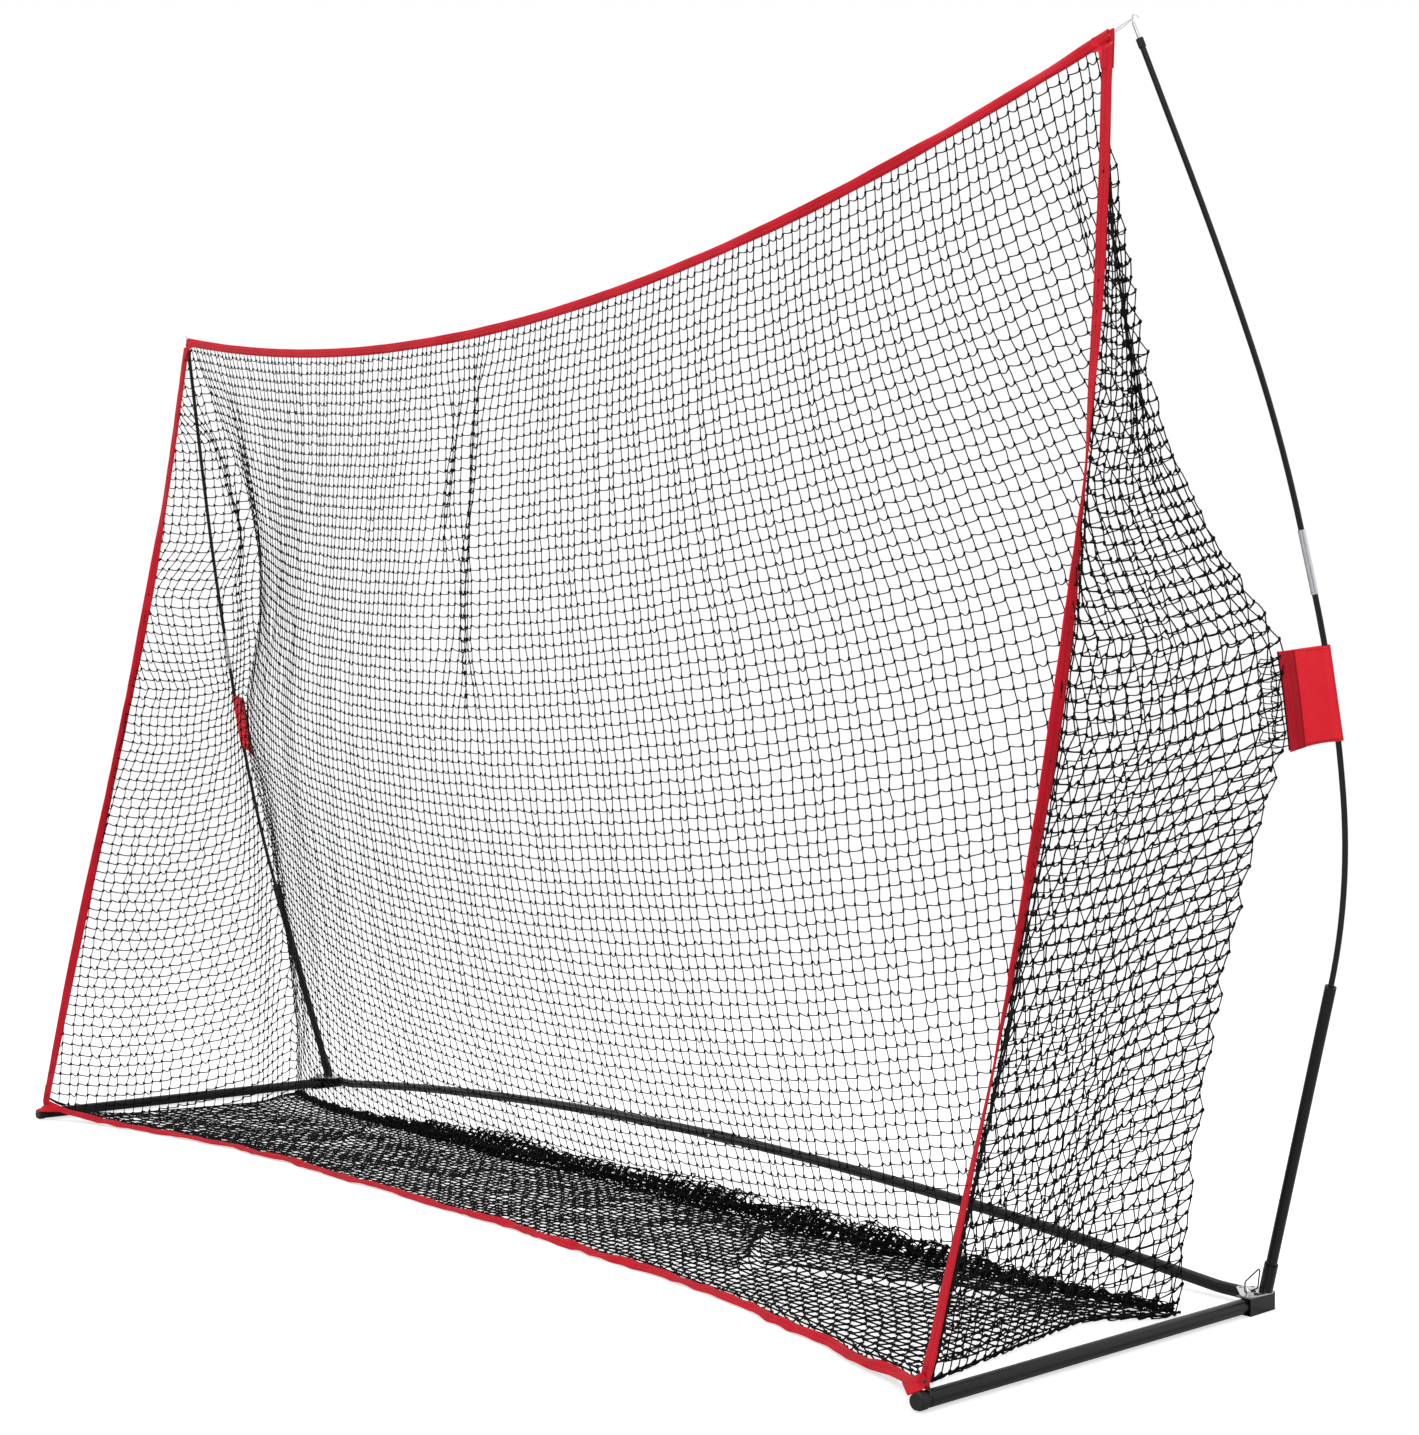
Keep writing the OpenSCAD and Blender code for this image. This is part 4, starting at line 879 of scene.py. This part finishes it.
# ---- doubled corners
def cloth(name, outline, normal, thick, rests_on, bulge=0.0):
    """A flat piece of doubled cloth from an outline of points, with a soft edge."""
    outline, normal = np.asarray(outline, float), unit(np.asarray(normal, float))
    centre, n = outline.mean(0), len(outline)
    if np.cross(outline - centre, np.roll(outline, -1, 0) - centre).sum(0) @ normal < 0:
        outline = outline[::-1]
    upper = [(0.985, 0.42), (0.95, 0.5), (0.6, 0.5 + bulge), (0.25, 0.5 + 1.3 * bulge)]
    layers = [(scale, -lift) for scale, lift in reversed(upper)] + [(1.0, 0.0)] + upper
    spread = outline - centre
    verts = np.concatenate([centre + spread * scale + normal * lift * thick for scale, lift in layers])
    quads = grid_faces(len(layers), n, wrap_cols=True)
    caps = [np.arange(n)[None, ::-1], ((len(layers) - 1) * n + np.arange(n))[None]]
    e1 = unit(outline[1] - outline[0])
    uv = np.stack([(verts - outline[0]) @ e1, (verts - outline[0]) @ np.cross(normal, e1)], -1) * MM
    obj = new_object(name, verts, [quads, *caps], red, uv)
    return obj


PATCH_T, FLAP_T = 1.35 * TRIM_T, 1.3 * TRIM_T
NECK_R, LOOP_R, LOOP_GAP = 9, 1.6, 0.3  # neck of the cap, elastic cord, room between them
NECK_AT = LEG - 19 - 3.5 + 0.8  # from the pin of the side bar
for side, s in SIDES:
    mirror = np.array([s, 1, 1])
    # Top corner: doubled cloth where the side trim meets the top trim
    lower, inner = side_edge(0.972), top_edge(0.978)
    outline = [
        TOP + [8, 3, 9],
        TOP + [9, 3, -4],
        lower + [8, 4, 0],
        lower - [9, 5, 0],
        TOP + [-17, -4, -24],
        inner + [0, 0, -12],
        inner + [0, 0, 11],
    ]
    outline = np.vstack(outline) * mirror
    n = np.cross(outline[1] - outline[5], outline[2] - outline[0])
    obj = cloth("corner_cloth_top_" + side, outline, n, PATCH_T, "ribbon_top")
    fixed(obj, "red_ribbon", "top_patch_" + side)
    # Bottom corner: doubled foot of the side trim
    foot_way = np.array([-0.97, 0.24, 0])
    low_line = [LOW + [0, 0, -12], LOW + [0, 0, 4], side_edge(0.022)]
    outline = [p + foot_way * r for p, r in zip(low_line, (9, 12, 12))]
    outline += [p - foot_way * r for p, r in zip(low_line[::-1], (12, 11, 6))]
    n = np.array([0.24 * s, 0.97, 0])
    obj = cloth("corner_cloth_low_" + side, np.vstack(outline) * mirror, n, PATCH_T, "ribbon_side_" + side)
    follow(obj, side, "red_ribbon", "bottom_patch_" + side)
    # Flap from that corner down to the bottom trim, with its point to the front
    trim_end = bottom_edge(np.array(0.966))
    outline = [
        LOW + [-3, -4, 12],
        LOW + [4, 4, -2],
        LOW + [2, -10, -11],
        LOW + [-11, -27, -18],
        trim_end + [-4, -13, 0],
        trim_end + [-4, 11, 3],
    ]
    n = np.array([0.35 * s, -0.6, 0.75])
    obj = cloth("corner_flap_" + side, np.vstack(outline) * mirror, n, FLAP_T, "ribbon_bottom_" + side, 0.2)
    follow(obj, side, "red_ribbon", "bottom_patch_" + side)
    # Black edge cord of the net along the ground
    w = np.linspace(0, 1, 90)
    shape = Shape()
    edge = hem(w) + vec(0, 0, 1.2)
    shape.tube(edge * mirror, 1.9, 6, np.stack([w, 0.5 + 0 * w], -1))
    obj = shape.build("edge_cord_" + side, MATERIALS["net_twine"])
    follow(obj, side, "net_twine", "net_side_" + side)
    # Elastic loop through the corner, round the neck of the cap
    leg = np.array([-math.sin(TOE_IN), -math.cos(TOE_IN), 0])
    neck = np.array([CORNER_X, REAR_Y - PIN_AHEAD, SIDE_BAR_Z]) + leg * NECK_AT
    over_way = np.array([math.cos(TOE_IN), -math.sin(TOE_IN), 0])
    ring = NECK_R + LOOP_R + LOOP_GAP
    rise = LOW[2] - SIDE_BAR_Z - ring
    t = np.linspace(0, 2 * np.pi, 61)[:-1]
    high = np.sin(t) > 0
    wide = ring * np.cos(t) * np.where(high, 0.96 - 0.35 * np.sin(t) ** 2, 1)
    tall = ring * np.sin(t) + np.where(high, rise * np.minimum(1, np.sin(t) * 1.15), 0)
    loop_line = neck + np.outer(wide, over_way) + vec(0, 0, tall)
    shape = Shape()
    shape.tube(loop_line * mirror, LOOP_R, 10, np.stack([t * 0.01, 0 * t], -1), closed=True)
    obj = shape.build("elastic_loop_" + side, MATERIALS["elastic_cord"], "UVMap")
    fixed(obj, "elastic_cord", "corner_loop_" + side, body=side + "_side_bar")
    # White cord between the top corner and the hook
    a, b = TOP + [0, 0, -2], TIP + [-6, -9, 34]
    t = np.linspace(0, 1, 33)
    bow = np.outer(2.2 * np.sin(np.pi * t), unit(np.cross(b - a, [0, 1, 0])))
    line = np.vstack([(mix(a, b, t[:, None]) + bow)[:-1], (mix(b, a, t[:, None]) - bow)[:-1]])
    uv = vec(np.linspace(0, 0.12, len(line)), 0)
    shape = Shape()
    shape.tube(line * mirror, 0.8, 8, uv, closed=True)
    obj = shape.build("hook_cord_" + side, MATERIALS["white_cord"], "UVMap")
    fixed(obj, "white_cord", "tip_loop_" + side)


# ---- pockets
def pocket_frame():
    """Origin and axes of a pocket on the right: x from the rod away from the net, z up the rod."""
    k, part = POCKET_ON
    bent = turned(k) + STATIONS[k][1] * part
    return pole_point(k, part), LEAN @ turn(1, -bent) @ turn(2, POCKET_TURN - BOW_TURN)


POCKET_AT, POCKET_WAY = pocket_frame()
BAND_SHOWN = BAND_W + 5  # the band with the double cloth beside it
BAND_REACH = POCKET_REACH - BAND_SHOWN + 6
TURN_ON = 0.16  # share of the cloth that goes round the rod
STITCH_EVERY = 3  # points of the band's edge from stitch to stitch
for side, s in SIDES:
    mirror = np.array([s, 1, 1])
    droop = 22 if side == "left" else 13
    rows, cols = 25, 61
    r = ROD_D / 2 + 2.2
    hgt = np.linspace(0, 1, rows)[:, None]
    path = np.linspace(0, 1, cols)[None, :]
    reach = POCKET_REACH - BAND_W * 0.35
    lay = np.clip(np.minimum(path, 1 - path) / (0.5 - TURN_ON / 2), 0, 1)
    front_side = np.where(path < 0.5, 1.0, -1.0)
    angle = (path - 0.5) / TURN_ON * np.pi * 1.5
    on_rod = np.abs(path - 0.5) < TURN_ON / 2
    flat_x = mix(-reach, -r * 0.75, lay)
    puff = np.sin(np.pi * hgt) * 1.2 + 0.6 * drift(path * 6, hgt * 4, 80 + s)
    gape = 0.75 + (r * 0.7) * lay ** 4
    x = np.where(on_rod, r * np.cos(angle), flat_x) + 0 * hgt
    y = np.where(on_rod, r * np.sin(-angle), front_side * gape) + 0 * hgt
    y = y + np.where(on_rod, 0, puff * np.sin(np.pi * lay) * 1.6 + front_side * puff * 0.25)
    y = y * mix(0.2, 1.0, ease((x + BAND_REACH) / 14))  # flat between the two layers of the band
    off_rod = np.clip(-x / POCKET_REACH, 0, 1)
    low_end = -POCKET_H / 2 - droop * off_rod ** 1.2 + 2 * np.sin(np.pi * off_rod)
    high_end = POCKET_H / 2 - 3 * off_rod ** 2
    z = mix(low_end, high_end, hgt)
    x = x - np.where(on_rod, 0, 4 * (1 - hgt) ** 2 * (1 - lay))
    at = (POCKET_AT + vec(x, y, z).reshape(-1, 3) @ POCKET_WAY.T) * mirror
    uv = vec(path * 2 * reach * MM, hgt * POCKET_H * MM).reshape(-1, 2)
    obj = new_object("pocket_cloth_" + side, at, [grid_faces(rows, cols)], MATERIALS["red_fabric"], uv)
    thick = obj.modifiers.new("thickness", "SOLIDIFY")
    thick.thickness, thick.offset = 0.0009, 0
    fixed(obj, "red_fabric", "pocket_" + side)

    # Doubled band that the net is sewn to, with a black edge
    h = np.linspace(0, 1, 41)
    inner_x = -POCKET_REACH - 4 * (1 - h) ** 2
    z = mix(-POCKET_H / 2 - 0.77 * droop, POCKET_H / 2 - 2.4, h)
    line = (POCKET_AT + vec(inner_x + BAND_SHOWN / 2, 0, z) @ POCKET_WAY.T) * mirror
    across = np.broadcast_to(POCKET_WAY[:, 0] * mirror, line.shape)
    slant = 1.8 * droop / POCKET_REACH * (1 - h)
    obj = ribbon("band_" + side, line, across, MATERIALS["red_binding"], BAND_SHOWN, 2.6, slant=slant)
    fixed(obj, "red_binding", "pocket_band_" + side)
    shape = Shape()
    edge = POCKET_AT + vec(inner_x - 0.6, 0, z) @ POCKET_WAY.T
    shape.tube(edge * mirror, 1.7, 6, np.stack([h, 0 * h], -1))
    # Short meshes that take up the fullness of both panels where they meet the band
    ends = edge[2:-1:STITCH_EVERY]
    at = (ends[:, 2] - FOOT[2]) / (TOP[2] - FOOT[2])
    odd = np.arange(len(at)) % 2
    for inner in (side_point(0.948 + 0.006 * odd, at), back_point(0.984 - 0.003 * odd, at)):
        for e, p in zip(ends, inner):
            t = np.linspace(0, 1, 5)[:, None]
            strand = mix(e, p, t) - [0, 0, 1] * np.sin(np.pi * t) * 3.5
            shape.tube(strand * mirror, 1.1, 3, vec(t[:, 0], 0.5))
        shape.tube(inner * mirror, 1.2, 3, vec(at, 0.5))
    obj = shape.build("band_cord_" + side, MATERIALS["net_twine"])
    fixed(obj, "net_twine")

# ---- the net pieces replace the net parts; the back is attached to the frame
for name, obj in net_pieces.items():
    width, drop, share = net_cut[name]
    side = name.rsplit("_", 1)[1]
    if name.startswith("net_back"):
        held, trim = "hung", "ribbon_top"
        fixed(obj, "net_twine", "net_back")
    elif name.startswith("net_side"):
        held, trim = "hung", "ribbon_side_" + side
        follow(obj, side, "net_twine", "net_side_" + side)
    else:
        held, trim = "laid", "ribbon_bottom_" + side
        follow(obj, side, "net_twine", "net_floor")

# ---- studio
stage_mat = Nodes("stage_white")
path = stage_mat.node("LightPath")
glow = stage_mat.node("Emission", Color=(1, 1, 1, 1), Strength=0.62)
dull = stage_mat.node("BsdfDiffuse", Color=(0.8, 0.8, 0.8, 1))
both = stage_mat.node("AddShader")
stage_mat.link(dull.outputs[0], both.inputs[0])
stage_mat.link(glow.outputs[0], both.inputs[1])
choose = stage_mat.node("MixShader")
stage_mat.link(path.outputs["Is Camera Ray"], choose.inputs[0])
stage_mat.link(dull.outputs[0], choose.inputs[1])
stage_mat.link(both.outputs[0], choose.inputs[2])
stage_mat.link(choose.outputs[0], stage_mat.out.inputs[0])
bpy.ops.mesh.primitive_circle_add(vertices=96, radius=40, fill_type="NGON", location=(0, 0, -0.0005))
ground = bpy.context.object
ground.name = "ground"
ground.data.materials.append(stage_mat.mat)

world = bpy.data.worlds.new("world")
bpy.context.scene.world = world
world.use_nodes = True
tree = world.node_tree
tree.nodes.clear()
out = tree.nodes.new("ShaderNodeOutputWorld")
ray = tree.nodes.new("ShaderNodeLightPath")
lit, seen = tree.nodes.new("ShaderNodeBackground"), tree.nodes.new("ShaderNodeBackground")
lit.inputs[0].default_value, lit.inputs[1].default_value = (0.95, 0.97, 1.0, 1), 0.5
seen.inputs[0].default_value, seen.inputs[1].default_value = (1, 1, 1, 1), 1.0
pick = tree.nodes.new("ShaderNodeMixShader")
sees = tree.nodes.new("ShaderNodeMath")
sees.operation = "MAXIMUM"
tree.links.new(ray.outputs["Is Camera Ray"], sees.inputs[0])
tree.links.new(ray.outputs["Is Glossy Ray"], sees.inputs[1])
tree.links.new(sees.outputs[0], pick.inputs[0])
tree.links.new(lit.outputs[0], pick.inputs[1])
tree.links.new(seen.outputs[0], pick.inputs[2])
tree.links.new(pick.outputs[0], out.inputs[0])


def lamp(name, place, target, size, power):
    data = bpy.data.lights.new(name, "AREA")
    data.shape, (data.size, data.size_y), data.energy = "RECTANGLE", size, power
    obj = bpy.data.objects.new(name, data)
    bpy.context.scene.collection.objects.link(obj)
    z = unit(np.array(place, float) - np.array(target, float))
    x = unit(np.cross([0.0, 0.0, 1.0] if abs(z[2]) < 0.99 else [0.0, 1.0, 0.0], z))
    y = np.cross(z, x)
    obj.matrix_world = placed(x, y, z, place)
    obj.visible_camera = False


lamp("key", (2.6, -4.0, 4.2), (0.2, 0, 0.9), (3.0, 3.0), 105)
lamp("top", (0.6, 0.2, 4.8), (0, 0, 0), (1.8, 1.1), 72)
lamp("left", (-4.5, -2.5, 2.8), (0, 0, 1), (2.0, 2.5), 40)

bpy.context.scene.view_settings.view_transform = "Standard"
